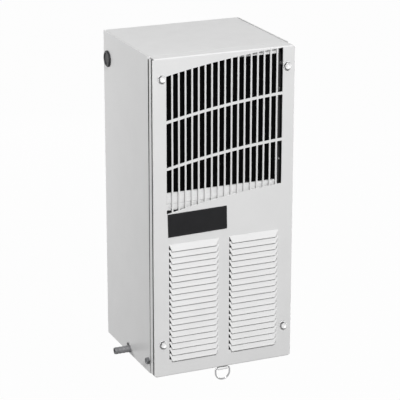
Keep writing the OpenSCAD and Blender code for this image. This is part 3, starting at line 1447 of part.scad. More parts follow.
module run_capacitor() made("silver") translate([box_mid_x, capacitor_d, box_low_h + box_t]) {
    rotate_extrude() polygon([
        [0, 0], [capacitor_r, 0], [capacitor_r, capacitor_l - capacitor_shoulder], [capacitor_r - strap_band_t, capacitor_l],
        [0, capacitor_l]
    ]);
    for (x = [-capacitor_r / 2, capacitor_r / 2])
        block(x - strap_band_t, x + strap_band_t, -tab_w / 2, tab_w / 2, capacitor_l - over, capacitor_l + tab_h);
    difference() {
        rod_h(0, 0, capacitor_l / 2, capacitor_l / 2 + strap_band_h, capacitor_r + strap_band_t);
        rod_h(0, 0, capacitor_l / 2 - over, capacitor_l / 2 + strap_band_h + over, capacitor_r - strap_band_t);
    }
}

lead_r = 2.2;
// Depth from the lead's drop to the motor's back
lead_inset = 10;
lead_d = motor_back_d - lead_inset;
lead_turn_h = 190;
lead_way = [box_mid_x, lead_turn_h - fan_h] / norm([box_mid_x, lead_turn_h - fan_h]);
lead_start = lead_way * (motor_r + clear);

module fan_lead() made("black") pipe([
    [lead_start.x, motor_front_d + motor_l / 2, fan_h + lead_start.y],
    [box_mid_x, motor_front_d + motor_l / 2, lead_turn_h],
    [box_mid_x, lead_d, shelf_h + line_step],
    [box_mid_x, lead_d, relay_top_h - relay_pin_h],
    [box_mid_x, relay_front_d, relay_top_h - relay_pin_h]
], lead_r);

module thermostat_body() made("dimgray") {
    difference() {
        block(dial_x - thermostat_w / 2, dial_x + thermostat_w / 2, thermostat_front_d, thermostat_back_d,
            dial_h - thermostat_w / 2, dial_h + thermostat_w / 2);
        rod_d(dial_x, dial_h, thermostat_back_d - thermostat_t / 2, thermostat_back_d + over, shaft_r + shaft_gap);
    }
    for (x = [dial_x - thermostat_w / 2, dial_x + thermostat_w / 2 - wall])
        block(x, x + wall, thermostat_back_d, back_in_d, dial_h - thermostat_w / 2, dial_h + thermostat_w / 2);
}

dial_ribs = 18;
dial_rib_r = 0.8;
module thermostat_dial() made("white") translate([dial_x, dial_back_d, dial_h]) rotate([90, 0, 0]) {
    difference() {
        union() {
            cylinder(h = dial_t, r = dial_r);
            for (i = [0:dial_ribs - 1]) rotate([0, 0, i * 360 / dial_ribs]) translate([dial_r, 0, 0])
                cylinder(h = dial_t, r = dial_rib_r);
        }
        translate([-dial_rib_r, dial_r / 4, -over]) cube([2 * dial_rib_r, dial_r, over + dial_rib_r]);
    }
    translate([0, 0, dial_t]) cylinder(h = thermostat_t / 2, r = shaft_r);
}

bulb_r = 3.2;
bulb_l = 56;
bulb_capillary_r = 0.9;
// Distance of the bulb's capillary from the casing's side
bulb_gap = 3.3;
bulb_run_x = inner_x - bulb_gap;
bulb_d = thermostat_front_d + thermostat_t / 2;
bulb_h = evap_top_h + room + bulb_r + clear;
module sensing_bulb() made("peru") {
    pipe([
        [dial_x + thermostat_w / 2, bulb_d, dial_h],
        [bulb_run_x, bulb_d, dial_h],
        [bulb_run_x, bulb_d, bulb_h],
        [coil_half_w, bulb_d, bulb_h]
    ], bulb_capillary_r);
    rod_x(bulb_d, bulb_h, coil_half_w - bulb_l, coil_half_w, bulb_r);
}

// Whether a sub-part is drawn.
function shown(name) = node == "all" || node == name;

if (shown("casing_wrap")) casing_wrap();
if (shown("top_panel")) top_panel();
if (shown("bottom_panel")) bottom_panel();
if (shown("front_cover")) front_cover();
if (shown("cover_edge_strips")) cover_edge_strips();
if (shown("cover_seal")) cover_seal();
if (shown("cover_screws")) cover_screws();
if (shown("clip_nuts")) clip_nuts();
if (shown("badge_plate")) badge_plate();
if (shown("hole_plug")) hole_plug();
if (shown("side_screw")) side_screw();
if (shown("drain_spigot")) drain_spigot();
if (shown("spigot_nut")) spigot_nut();
if (shown("drain_hose")) drain_hose();
if (shown("drain_pan")) drain_pan();
if (shown("filter_guides")) filter_guides();
if (shown("guide_screws")) guide_screws();
if (shown("filter_frame")) filter_frame();
if (shown("filter_media")) filter_media();
if (shown("pull_strap")) pull_strap();
if (shown("pull_ring")) pull_ring();
if (shown("condenser_fins")) condenser_fins();
if (shown("condenser_end_plates")) condenser_end_plates();
if (shown("condenser_tubes")) condenser_tubes();
if (shown("fan_shroud")) fan_shroud();
if (shown("fan_motor")) fan_motor();
if (shown("motor_bracket")) motor_bracket();
if (shown("condenser_fan")) condenser_fan();
if (shown("fan_shaft")) fan_shaft();
if (shown("compressor")) compressor();
if (shown("compressor_grommets")) compressor_grommets();
if (shown("compressor_studs")) compressor_studs();
if (shown("terminal_cover")) terminal_cover();
if (shown("discharge_line")) discharge_line();
if (shown("suction_line")) suction_line();
if (shown("liquid_line")) liquid_line();
if (shown("filter_drier")) filter_drier();
if (shown("capillary_tube")) capillary_tube();
if (shown("divider_panel")) divider_panel();
if (shown("divider_insulation")) divider_insulation();
if (shown("evaporator_fins")) evaporator_fins();
if (shown("evaporator_end_plates")) evaporator_end_plates();
if (shown("evaporator_tubes")) evaporator_tubes();
if (shown("rear_fan_frame")) rear_fan_frame();
if (shown("rear_fan_wheel")) rear_fan_wheel();
if (shown("rear_fan_guard")) rear_fan_guard();
if (shown("rear_fan_screws")) rear_fan_screws();
if (shown("wall_nuts")) wall_nuts();
if (shown("back_gasket")) back_gasket();
if (shown("lead_grommet")) lead_grommet();
if (shown("control_box")) control_box();
if (shown("control_box_lid")) control_box_lid();
if (shown("lid_screws")) lid_screws();
if (shown("terminal_block")) terminal_block();
if (shown("relay")) relay();
if (shown("run_capacitor")) run_capacitor();
if (shown("fan_lead")) fan_lead();
if (shown("thermostat_body")) thermostat_body();
if (shown("thermostat_dial")) thermostat_dial();
if (shown("sensing_bulb")) sensing_bulb();
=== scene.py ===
import json
import math

import bmesh
import bpy
from mathutils import Matrix, Vector, noise


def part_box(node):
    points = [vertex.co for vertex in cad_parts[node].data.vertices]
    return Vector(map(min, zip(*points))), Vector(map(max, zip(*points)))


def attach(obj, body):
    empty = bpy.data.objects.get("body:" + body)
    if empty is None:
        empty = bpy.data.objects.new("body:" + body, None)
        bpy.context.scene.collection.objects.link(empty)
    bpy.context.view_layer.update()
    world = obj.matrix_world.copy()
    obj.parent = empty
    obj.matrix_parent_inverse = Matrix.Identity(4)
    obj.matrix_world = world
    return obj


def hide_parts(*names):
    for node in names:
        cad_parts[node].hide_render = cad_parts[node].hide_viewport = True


# Looks of a small enclosure cooling unit, on the frame of its CAD model.
# Places are in metres; sizes of small features are in millimetres where they are used with MM.

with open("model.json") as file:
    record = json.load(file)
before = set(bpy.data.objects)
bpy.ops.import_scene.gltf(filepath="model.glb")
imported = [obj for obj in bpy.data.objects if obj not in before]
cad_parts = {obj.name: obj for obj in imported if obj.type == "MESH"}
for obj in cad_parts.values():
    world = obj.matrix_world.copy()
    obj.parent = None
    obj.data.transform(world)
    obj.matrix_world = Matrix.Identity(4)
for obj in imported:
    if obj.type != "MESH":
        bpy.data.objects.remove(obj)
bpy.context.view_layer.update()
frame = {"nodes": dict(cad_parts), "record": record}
nodes = frame["nodes"]

MM = 0.001
WHITE = (1, 1, 1, 1)

slot_of = {part["node"]: part["material_slot"] for part in frame["record"]["subparts"]}
body_of = {n: b for b, group in frame["record"]["behaviour"]["bodies"].items() for n in group}


# Colours

def linear(level):
    """A display level from 0 to 255 as the linear number that shows as it."""
    v = level / 255
    return v / 12.92 if v <= 0.04045 else ((v + 0.055) / 1.055) ** 2.4


def rgb(r, g, b):
    """A colour from three display levels."""
    return (linear(r), linear(g), linear(b), 1.0)


def grey(level):
    """A neutral grey from one display level."""
    return rgb(level, level, level)


def shade(colour, share):
    """A colour made darker or lighter by a share."""
    return tuple(min(1.0, c * share) for c in colour[:3]) + (1.0,)


# Materials

class Shader:
    """A node material that starts from the place on the object, in metres."""

    def __init__(self, name, **sockets):
        self.material = bpy.data.materials.new(name)
        self.material.use_nodes = True
        self.tree = self.material.node_tree
        self.bsdf = self.tree.nodes["Principled BSDF"]
        self.place = self.tree.nodes.new("ShaderNodeTexCoord").outputs["Object"]
        for key, value in sockets.items():
            self.bsdf.inputs[key.replace("_", " ")].default_value = value

    def add(self, kind, **values):
        """A new node with these properties, or these values on its sockets."""
        node = self.tree.nodes.new(kind)
        for key, value in values.items():
            if hasattr(node, key):
                setattr(node, key, value)
            else:
                node.inputs[key.replace("_", " ")].default_value = value
        return node

    def link(self, out, into):
        self.tree.links.new(out, into)

    def stretched(self, x, y, z):
        """The place, scaled by a share along each axis."""
        node = self.add("ShaderNodeMapping", vector_type="POINT")
        node.inputs["Scale"].default_value = (x, y, z)
        self.link(self.place, node.inputs["Vector"])
        return node.outputs["Vector"]

    def cloud(self, scale, detail=2.0, rough=0.5, place=None):
        """Smooth noise about 0.5, with this many waves in a metre."""
        node = self.add("ShaderNodeTexNoise", Scale=scale, Detail=detail, Roughness=rough)
        self.link(place or self.place, node.inputs["Vector"])
        return node.outputs["Fac"]

    def cells(self, scale, out="Distance"):
        """Irregular cells, with this many in a metre."""
        node = self.add("ShaderNodeTexVoronoi", feature="F1", Scale=scale, Randomness=1.0)
        self.link(self.place, node.inputs["Vector"])
        return node.outputs[out]

    def ramp(self, fac, low, high, start=0.0, end=1.0):
        """A value that goes from start to end as the factor goes from low to high."""
        node = self.add("ShaderNodeMapRange")
        node.inputs["From Min"].default_value = low
        node.inputs["From Max"].default_value = high
        node.inputs["To Min"].default_value = start
        node.inputs["To Max"].default_value = end
        self.link(fac, node.inputs["Value"])
        return node.outputs["Result"]

    def mix(self, fac, a, b):
        """A colour between two, each of them a colour or another node's output."""
        node = self.add("ShaderNodeMix", data_type="RGBA")
        self.link(fac, node.inputs["Factor"])
        for value, socket in ((a, node.inputs[6]), (b, node.inputs[7])):
            if isinstance(value, tuple):
                socket.default_value = value
            else:
                self.link(value, socket)
        return node.outputs[2]

    def colour(self, out):
        self.link(out, self.bsdf.inputs["Base Color"])

    def roughness(self, out):
        self.link(out, self.bsdf.inputs["Roughness"])

    def metallic(self, out):
        self.link(out, self.bsdf.inputs["Metallic"])

    def bumps(self, *layers):
        """Layers of (height, distance in mm, strength), laid one over the other."""
        normal = None
        for height, distance, strength in layers:
            node = self.add("ShaderNodeBump", Distance=distance * MM, Strength=strength)
            self.link(height, node.inputs["Height"])
            if normal is not None:
                self.link(normal, node.inputs["Normal"])
            normal = node.outputs["Normal"]
        self.link(normal, self.bsdf.inputs["Normal"])


def powder_coat(name, colour, rough, grain=900, peel=0.35):
    """Satin powder coat: fine orange peel, faint mottling and a few nibs."""
    s = Shader(name)
    mottling = s.ramp(s.cloud(26, detail=3), 0.35, 0.65)
    tone = s.mix(mottling, shade(colour, 0.985), shade(colour, 1.012))
    nibs = s.ramp(s.cloud(2600), 0.56, 0.72)
    s.colour(s.mix(nibs, tone, shade(colour, 0.93)))
    s.roughness(s.ramp(s.cloud(60, detail=3), 0.3, 0.7, rough - 0.04, rough + 0.05))
    s.bumps((s.cloud(grain), 0.06, peel), (s.cloud(grain * 2.7), 0.02, peel))
    return s.material


def plated(name, colour, rough, streak=(1, 1, 1), mottling=0.1, scale=300, metal=1.0):
    """Plated or bright metal with faint drawing marks and cloudy reflections."""
    s = Shader(name, Metallic=metal)
    place = s.stretched(*streak)
    clouds = s.ramp(s.cloud(scale, 4, 0.6, place), 0.3, 0.7)
    s.colour(s.mix(clouds, shade(colour, 1 - mottling), shade(colour, 1 + mottling)))
    s.roughness(s.ramp(s.cloud(scale * 0.4, 3, 0.6, place), 0.3, 0.7, rough - 0.07, rough + 0.08))
    s.bumps((s.cloud(scale * 6, place=place), 0.03, 0.25))
    return s.material


def spangled(name, colour, rough, spangles=130):
    """Hot-dip zinc on sheet: cells of crystals, each with its own tone."""
    s = Shader(name, Metallic=1.0)
    cell = s.cells(spangles, "Color")
    s.colour(s.mix(s.ramp(cell, 0.2, 0.8), shade(colour, 0.82), shade(colour, 1.12)))
    s.roughness(s.ramp(cell, 0.1, 0.9, rough - 0.1, rough + 0.12))
    s.bumps((s.cells(spangles), 0.05, 0.15), (s.cloud(1400), 0.02, 0.2))
    return s.material


def moulded(name, colour, rough, grain=1600, depth=0.04, strength=0.3, specular=0.5):
    """Moulded plastic or rubber with a fine sparked texture of a depth in mm."""
    s = Shader(name, Specular_IOR_Level=specular)
    tone = s.ramp(s.cloud(90, detail=3), 0.35, 0.65)
    s.colour(s.mix(tone, shade(colour, 0.9), shade(colour, 1.12)))
    s.roughness(s.ramp(s.cloud(240, detail=3), 0.3, 0.7, rough - 0.06, rough + 0.06))
    s.bumps((s.cloud(grain, 3, 0.6), depth, strength))
    return s.material


def foam(name, shaded_pit, wall, pores, depth, strength=0.9):
    """Open foam: pits of a depth in mm, painted darker as shade, between lighter walls."""
    s = Shader(name, Roughness=0.95, Specular_IOR_Level=0.02)
    pore = s.cells(pores)
    # Painted shade: the pore pits are coloured darker than the walls between them.
    s.colour(s.mix(s.ramp(pore, 0.15, 0.7), shaded_pit, wall))
    s.bumps((s.cloud(pores * 0.3), depth * 2, 0.4), (pore, depth, strength))
    return s.material


def drawn_copper(name):
    """Drawn copper, warm and bright with patches of darker tarnish."""
    s = Shader(name, Metallic=1.0)
    bright = (0.70, 0.36, 0.22, 1)
    tarnished = (0.47, 0.23, 0.14, 1)
    s.colour(s.mix(s.ramp(s.cloud(70, 4, 0.6), 0.38, 0.68), bright, tarnished))
    s.roughness(s.ramp(s.cloud(140, detail=3), 0.3, 0.7, 0.22, 0.42))
    s.bumps((s.cloud(900), 0.04, 0.2))
    return s.material


def clear_plastic(name):
    """Soft clear hose, faintly milky."""
    s = Shader(name, Roughness=0.28, IOR=1.42, Transmission_Weight=0.55)
    milky = (0.74, 0.77, 0.74, 1)
    clear = (0.82, 0.84, 0.8, 1)
    s.colour(s.mix(s.ramp(s.cloud(120), 0.35, 0.65), milky, clear))
    s.bumps((s.cloud(260), 0.1, 0.2))
    return s.material


def zinc_seen_on_top(name):
    """Zinc with painted light and shade: a painted highlight, bright and hardly metallic, on the faces that
    look along y, and painted shade, darker and more metallic, down the sides.
    """
    s = Shader(name)
    way = s.add("ShaderNodeSeparateXYZ")
    s.link(s.add("ShaderNodeNewGeometry").outputs["True Normal"], way.inputs["Vector"])
    facing = s.add("ShaderNodeMath", operation="ABSOLUTE")
    s.link(way.outputs["Y"], facing.inputs[0])
    # Painted light: faces that look along y are painted lit, and the sides are painted as shade.
    painted_light_mask = s.ramp(facing.outputs[0], 0.35, 0.85)
    s.colour(s.mix(painted_light_mask, rgb(96, 96, 98), grey(236)))
    s.metallic(s.ramp(painted_light_mask, 0, 1, 0.9, 0.1))
    s.roughness(s.ramp(s.cloud(700, detail=3), 0.3, 0.7, 0.42, 0.55))
    s.bumps((s.cloud(2200), 0.03, 0.3))
    return s.material


finishes = {}


def add_finish(maker, name, *values, **named):
    """Makes a finish and lists it under its name."""
    finishes[name] = maker(name, *values, **named)


add_finish(powder_coat, "casing_paint", grey(217), 0.33)
add_finish(powder_coat, "cover_paint", grey(219), 0.33)
add_finish(powder_coat, "guide_paint", rgb(42, 42, 43), 0.45)
add_finish(powder_coat, "motor_paint", rgb(112, 116, 121), 0.4, grain=700)
add_finish(powder_coat, "compressor_paint", rgb(30, 30, 31), 0.3, grain=500, peel=0.5)
add_finish(plated, "zinc_steel", rgb(196, 197, 198), 0.3, mottling=0.08)
add_finish(plated, "bright_steel", rgb(176, 176, 177), 0.24, mottling=0.05, metal=0.9)
add_finish(spangled, "galvanised_sheet", rgb(186, 189, 193), 0.38)
add_finish(plated, "capacitor_can", rgb(200, 201, 203), 0.28, streak=(1, 1, 0.08), mottling=0.07)
add_finish(plated, "fin_alloy", rgb(196, 198, 201), 0.35, streak=(1, 1, 0.1), mottling=0.08, scale=500)
add_finish(plated, "filter_alloy", grey(228), 0.4, streak=(0.1, 1, 1), mottling=0.05, scale=600, metal=0.35)
add_finish(drawn_copper, "copper")
add_finish(foam, "filter_foam", grey(2), rgb(9, 9, 10), pores=900, depth=0.6)
add_finish(foam, "black_foam", rgb(16, 16, 17), rgb(34, 34, 35), pores=1300, depth=0.2, strength=0.6)
add_finish(moulded, "black_rubber", rgb(34, 34, 35), 0.6, grain=1200)
add_finish(moulded, "black_plastic", rgb(36, 36, 38), 0.42, specular=0.22)
add_finish(moulded, "badge_black", rgb(22, 22, 24), 0.5, grain=2600, depth=0.02, strength=0.2, specular=0.2)
add_finish(moulded, "grey_plastic", rgb(108, 108, 110), 0.55, grain=1400)
add_finish(moulded, "white_plastic", rgb(222, 221, 214), 0.4, grain=1400, depth=0.03)
add_finish(clear_plastic, "clear_hose")
# Zinc for the cover screws, with painted light on their faces and painted shade down their sides.
add_finish(zinc_seen_on_top, "zinc_seen_on_top")
# A darker, duller copy of the zinc: painted shade for the side screw, which stands in shadow on the side.
add_finish(plated, "zinc_dulled", rgb(98, 99, 101), 0.55, mottling=0.15, metal=0.7)

for name, node in nodes.items():
    node.data.materials.clear()
    node.data.materials.append(finishes[slot_of[name]])


# Mesh helpers

# Points nearer to each other than this are one point.
SAME_POINT = 0.001 * MM
# Points nearer to a cutting plane than this are on it.
ON_PLANE = 0.0001 * MM
# Faces that meet at less than this angle, in degrees, are one flat face.
FLAT = 0.5
# A node with more faces than this is cut into triangles before its edges are eased.
MANY_FACES = 500
# Edges of such a node above this angle, in degrees, stay sharp.
MANY_FACES_SHARP = 19


def soften(mesh, degrees):
    """Smooth shading, with the edges above this angle kept sharp."""
    work = bmesh.new()
    work.from_mesh(mesh)
    limit = math.radians(degrees)
    for face in work.faces:
        face.smooth = True
    for edge in work.edges:
        edge.smooth = len(edge.link_faces) == 2 and edge.calc_face_angle(0) < limit
    work.to_mesh(mesh)
    work.free()


def as_mesh(work, name):
    """A mesh from a shape, with every face turned outward."""
    mesh = bpy.data.meshes.new(name)
    bmesh.ops.recalc_face_normals(work, faces=work.faces)
    work.to_mesh(mesh)
    work.free()
    return mesh


def piece(name, mesh, slot, body, *stands_for, finish=None, sharp=40):
    """A finished piece of the object: shaded, dressed and riding its body, with the nodes it stands for
    hidden.
    """
    soften(mesh, sharp)
    obj = bpy.data.objects.new(name, mesh)
    bpy.context.scene.collection.objects.link(obj)
    mesh.materials.clear()
    mesh.materials.append(finishes[finish or slot])
    even = obj.modifiers.new("even", "WEIGHTED_NORMAL")
    even.keep_sharp = True
    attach(obj, body)
    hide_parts(*stands_for)
    return obj


def stand_in(node, ending, mesh, finish=None, sharp=40):
    """A piece in place of one node, with the node's slot and body."""
    return piece(node + ending, mesh, slot_of[node], body_of[node], node, finish=finish, sharp=sharp)


def copied(node):
    """A copy of a node's mesh, with doubled points joined and flat faces merged."""
    work = bmesh.new()
    work.from_mesh(nodes[node].data)
    bmesh.ops.remove_doubles(work, verts=work.verts, dist=SAME_POINT)
    bmesh.ops.dissolve_limit(work, angle_limit=math.radians(FLAT), verts=work.verts, edges=work.edges)
    return work


def rounded(work, width, degrees=35):
    """Rounds every edge above an angle."""
    limit = math.radians(degrees)
    edges = [e for e in work.edges if len(e.link_faces) == 2 and e.calc_face_angle(0) > limit]
    bmesh.ops.bevel(
        work, geom=edges, offset=width, offset_type="OFFSET", segments=2, profile=0.5,
        affect="EDGES", clamp_overlap=False,
    )


def refined(node, width):
    """The node's own shape with its edges eased by a width in mm, shaded smoothly."""
    work = copied(node)
    sharp = 40
    if width and len(work.faces) > MANY_FACES:
        bmesh.ops.triangulate(work, faces=work.faces, ngon_method="BEAUTY", quad_method="BEAUTY")
        sharp = MANY_FACES_SHARP
    if width:
        rounded(work, width * MM)
    return stand_in(node, "_finished", as_mesh(work, node + "_finished"), sharp=sharp)


def islands(node):
    """The low and high corners of each separate solid of a node, in metres."""
    work = copied(node)
    left = set(work.verts)
    boxes = []
    while left:
        stack = [left.pop()]
        found = list(stack)
        while stack:
            for edge in stack.pop().link_edges:
                for vert in edge.verts:
                    if vert in left:
                        left.remove(vert)
                        stack.append(vert)
                        found.append(vert)
        low = Vector([min(v.co[k] for v in found) for k in range(3)])
        high = Vector([max(v.co[k] for v in found) for k in range(3)])
        boxes.append((low, high))
    work.free()
    return sorted(boxes, key=lambda box: tuple(round(c, 5) for c in box[0]))


def pointing(direction, place, turn):
    """A frame at a place whose z points along a direction, turned about it."""
    z = Vector(direction).normalized()
    side = Vector((0, 0, 1)) if abs(z.z) < 0.5 else Vector((0, 1, 0))
    x = side.cross(z).normalized()
    y = z.cross(x)
    frame_at = Matrix((x, y, z)).transposed().to_4x4()
    frame_at.translation = Vector(place)
    return frame_at @ Matrix.Rotation(turn, 4, "Z")


def turned(work, frame_at, rings, sides):
    """Adds a turned solid; each ring is a radius, or a function of the angle, and a height in mm."""
    loops = []
    for radius, height in rings:
        if radius == 0:
            loops.append([work.verts.new(frame_at @ Vector((0, 0, height * MM)))])
            continue
        loop = []
        for k in range(sides):
            t = 2 * math.pi * k / sides
            r = (radius(t) if callable(radius) else radius) * MM
            loop.append(work.verts.new(frame_at @ Vector((r * math.cos(t), r * math.sin(t), height * MM))))
        loops.append(loop)
    for a, b in zip(loops, loops[1:]):
        for k in range(sides):
            j = (k + 1) % sides
            corners = [a[k % len(a)], a[j % len(a)], b[j % len(b)], b[k % len(b)]]
            work.faces.new(list(dict.fromkeys(corners)))


def swept(work, path, radius, sides):
    """Adds a closed round wire along a flat loop of places; the loop lies square to y."""
    across = Vector((0, 1, 0))
    loops = []
    count = len(path)
    for i, place in enumerate(path):
        along = (path[(i + 1) % count] - path[i - 1]).normalized()
        out_way = along.cross(across)
        loops.append([
            work.verts.new(place + radius * (math.cos(t) * out_way + math.sin(t) * across))
            for t in (2 * math.pi * k / sides for k in range(sides))
        ])
    for i in range(count):
        a, b = loops[i], loops[(i + 1) % count]
        for k in range(sides):
            j = (k + 1) % sides
            work.faces.new((a[k], a[j], b[j], b[k]))


def arc(x, z, radius, start, end, steps):
    """Places along an arc about a middle, from one angle to another in degrees."""
    angles = [math.radians(start + (end - start) * k / steps) for k in range(steps + 1)]
    return [(x + radius * math.cos(t), z + radius * math.sin(t)) for t in angles]


def carved(mesh, cutter):
    """The mesh with a cutter's volume taken out."""
    body = bpy.data.objects.new("body", mesh)
    tool = bpy.data.objects.new("tool", cutter)
    for obj in (body, tool):
        bpy.context.scene.collection.objects.link(obj)
    cut = body.modifiers.new("cut", "BOOLEAN")
    cut.operation = "DIFFERENCE"
    cut.solver = "EXACT"
    cut.use_self = True
    cut.object = tool
    graph = bpy.context.evaluated_depsgraph_get()
    result = bpy.data.meshes.new_from_object(body.evaluated_get(graph))
    for obj in (body, tool):
        bpy.data.objects.remove(obj)
    return result


def sliced(work, step):
    """Cuts a shape across all three axes at a regular step, so that it can be ruffled."""
    for axis in range(3):
        normal = Vector((0, 0, 0))
        normal[axis] = 1
        low = min(v.co[axis] for v in work.verts)
        high = max(v.co[axis] for v in work.verts)
        count = int((high - low) / step)
        for i in range(1, count + 1):
            place = Vector((0, 0, 0))
            place[axis] = low + (high - low) * i / (count + 1)
            bmesh.ops.bisect_plane(
                work, geom=work.verts[:] + work.edges[:] + work.faces[:], dist=ON_PLANE,
                plane_co=place, plane_no=normal,
            )


def ruffled(work, amount, scale):
    """Moves each point in along its normal by a smooth noise of up to the amount."""
    bmesh.ops.recalc_face_normals(work, faces=work.faces)
    work.normal_update()
    moves = [
        -v.normal * amount * (0.5 + 0.5 * max(-1, min(1, noise.noise(v.co * scale) * 1.6)))
        for v in work.verts
    ]
    for v, move in zip(work.verts, moves):
        v.co += move


# Camera

# Fitted to the corners of the case in the photograph. Angles are in degrees: the turn is anticlockwise
# from a view along y, the tilt is down from level and the roll is about the line of sight.
# The lens and the sensor's width are in mm.
CAMERA_PLACE = (-0.84341, -2.04102, 0.69883)
CAMERA_TURN = -23.3456
CAMERA_TILT = 18.2942
CAMERA_ROLL = 0.0392
CAMERA_LENS = 168.01
CAMERA_SENSOR = 36

camera = bpy.data.objects.new("camera", bpy.data.cameras.new("camera"))
bpy.context.scene.collection.objects.link(camera)
bpy.context.scene.camera = camera
camera.matrix_world = (
    Matrix.Translation(CAMERA_PLACE)
    @ Matrix.Rotation(math.radians(CAMERA_TURN), 4, "Z")
    @ Matrix.Rotation(math.radians(90 - CAMERA_TILT), 4, "X")
    @ Matrix.Rotation(math.radians(CAMERA_ROLL), 4, "Z")
)
camera.data.sensor_width = CAMERA_SENSOR
camera.data.lens = CAMERA_LENS
camera.data.clip_start = 0.05
camera.data.clip_end = 60


# Fasteners, in mm

COVER_SCREW = {"shank_r": 2.2, "washer_r": 4.9, "washer_t": 1.0, "head_r": 4.2, "head_h": 3.6}
SIDE_SCREW = {"shank_r": 2.0, "washer_r": 4.3, "washer_t": 0.0, "head_r": 4.3, "head_h": 3.4}
GUIDE_SCREW = {"shank_r": 1.4, "head_r": 1.8, "head_h": 1.2}
# Distance from one ridge of the thread to the next
HEX_THREAD_PITCH = 1.2
PAN_THREAD_PITCH = 0.8
# Rings of the hexagon's chamfer: share of the head's height, share of its corner radius
HEX_CHAMFER = ((0.78, 1.0), (0.84, 0.975), (0.9, 0.945), (0.95, 0.91), (1.0, 0.865))
# Rings of a pan head: share of its radius, share of its height
PAN_HEAD = ((0.96, 0), (1, 0.12), (1, 0.45), (0.93, 0.7), (0.78, 0.88), (0.5, 0.97), (0, 1))
# The cross recess: its length and width as shares of the head's radius, its middle's share of the height
CROSS_LENGTH = 1.15
CROSS_WIDTH = 0.26
CROSS_LIFT = 0.95
# How a screw was left turned: the first one in radians, and how much further the next one is
PAN_FIRST_TURN = 0.4
PAN_NEXT_TURN = 1.1


def hexagon(corner):
    """A hexagon of this corner radius, as a radius for each angle."""
    flat = corner * math.cos(math.pi / 6)
    return lambda t: flat / math.cos((t % (math.pi / 3)) - math.pi / 6)


def trimmed(shape, limit):
    """A shape cut off at a round limit."""
    return lambda t: min(shape(t), limit)


def thread(start, end, root, crest, pitch):
    """Rings of a helical ridge from one height to another."""
    def ridge(height):
        def radius(t):
            phase = (height / pitch + t / (2 * math.pi)) % 1
            return root + (crest - root) * (1 - 2 * abs(phase - 0.5))
        return radius

    count = int(abs(end - start) / pitch * 6)
    heights = [start + (end - start) * i / count for i in range(count + 1)]
    return [(ridge(height), height) for height in heights]


def hex_screw(work, frame_at, shank_l, shank_r, washer_r, washer_t, head_r, head_h):
    """A hex washer-head screw with a rolled rim, a chamfered hexagon, a dished top and a thread."""
    six = hexagon(head_r)
    top = washer_t + head_h
    rings = [(0, -shank_l), (0.5 * shank_r, -shank_l)]
    rings += thread(-shank_l + 0.6 * shank_r, -0.8, shank_r * 0.8, shank_r * 0.98, HEX_THREAD_PITCH)
    rings.append((shank_r * 0.9, -0.1))
    if washer_t:
        rings += [(washer_r - 0.25, 0), (washer_r, 0.2), (washer_r, washer_t * 0.6)]
        rings.append((washer_r - 0.3, washer_t * 0.92))
    rings.append((six, washer_t))
    rings += [(trimmed(six, head_r * cone), washer_t + head_h * share) for share, cone in HEX_CHAMFER]
    rings += [(head_r * 0.72, top), (head_r * 0.64, top - 0.25), (head_r * 0.5, top - 0.75), (0, top - 0.95)]
    turned(work, frame_at, rings, sides=72)


def pan_screw(work, cutter, frame_at, shank_l, shank_r, head_r, head_h):
    """A pan-head screw, and the cross that is cut into its head."""
    rings = [(0, -shank_l), (0.5 * shank_r, -shank_l)]
    rings += thread(-shank_l + 0.6 * shank_r, -0.3, shank_r * 0.78, shank_r * 0.98, PAN_THREAD_PITCH)
    rings.append((shank_r * 0.9, -0.02))
    rings += [(head_r * wide, head_h * high) for wide, high in PAN_HEAD]
    turned(work, frame_at, rings, sides=36)
    size = Matrix.Diagonal((head_r * CROSS_LENGTH * MM, head_r * CROSS_WIDTH * MM, head_h * MM, 1))
    lift = Matrix.Translation((0, 0, head_h * CROSS_LIFT * MM))
    for turn in (0, math.pi / 2):
        bar = bmesh.ops.create_cube(cutter, size=1)
        place = frame_at @ Matrix.Rotation(turn, 4, "Z") @ lift @ size
        bmesh.ops.transform(cutter, matrix=place, verts=bar["verts"])


def seats(node, direction, head_h):
    """Where each screw of a node seats, and its length below the head in mm."""
    way = Vector(direction)
    axis = max(range(3), key=lambda k: abs(way[k]))
    for low, high in islands(node):
        seat = (low + high) / 2
        top = high if way[axis] > 0 else low
        seat[axis] = top[axis] - way[axis] * head_h * MM
        yield seat, (high[axis] - low[axis]) / MM - head_h


def hex_screws(node, direction, sizes, finish, turns):
    """Detailed hex screws in place of a node's plain ones, each turned by its own angle in degrees."""
    work = bmesh.new()
    head_h = sizes["washer_t"] + sizes["head_h"]
    for turn, (seat, length) in zip(turns, seats(node, direction, head_h)):
        hex_screw(work, pointing(direction, seat, math.radians(turn)), length, **sizes)
    return stand_in(node, "_detailed", as_mesh(work, node + "_detailed"), finish, sharp=28)


def pan_screws(node, direction, sizes):
    """Detailed pan-head screws in place of a node's plain ones."""
    work, cross = bmesh.new(), bmesh.new()
    for i, (seat, length) in enumerate(seats(node, direction, sizes["head_h"])):
        turn = PAN_FIRST_TURN + PAN_NEXT_TURN * i
        pan_screw(work, cross, pointing(direction, seat, turn), length, **sizes)
    mesh = carved(as_mesh(work, node + "_body"), as_mesh(cross, node + "_cross"))
    return stand_in(node, "_detailed", mesh, sharp=32)


# The cover screws wear the zinc with painted light and shade.
hex_screws("cover_screws", (0, -1, 0), COVER_SCREW, "zinc_seen_on_top", turns=(12, 41, 27, 52))
# The side screw wears the darker zinc copy as painted shade.
hex_screws("side_screw", (-1, 0, 0), SIDE_SCREW, "zinc_dulled", turns=(18,))
pan_screws("guide_screws", (0, -1, 0), GUIDE_SCREW)


# Pull ring

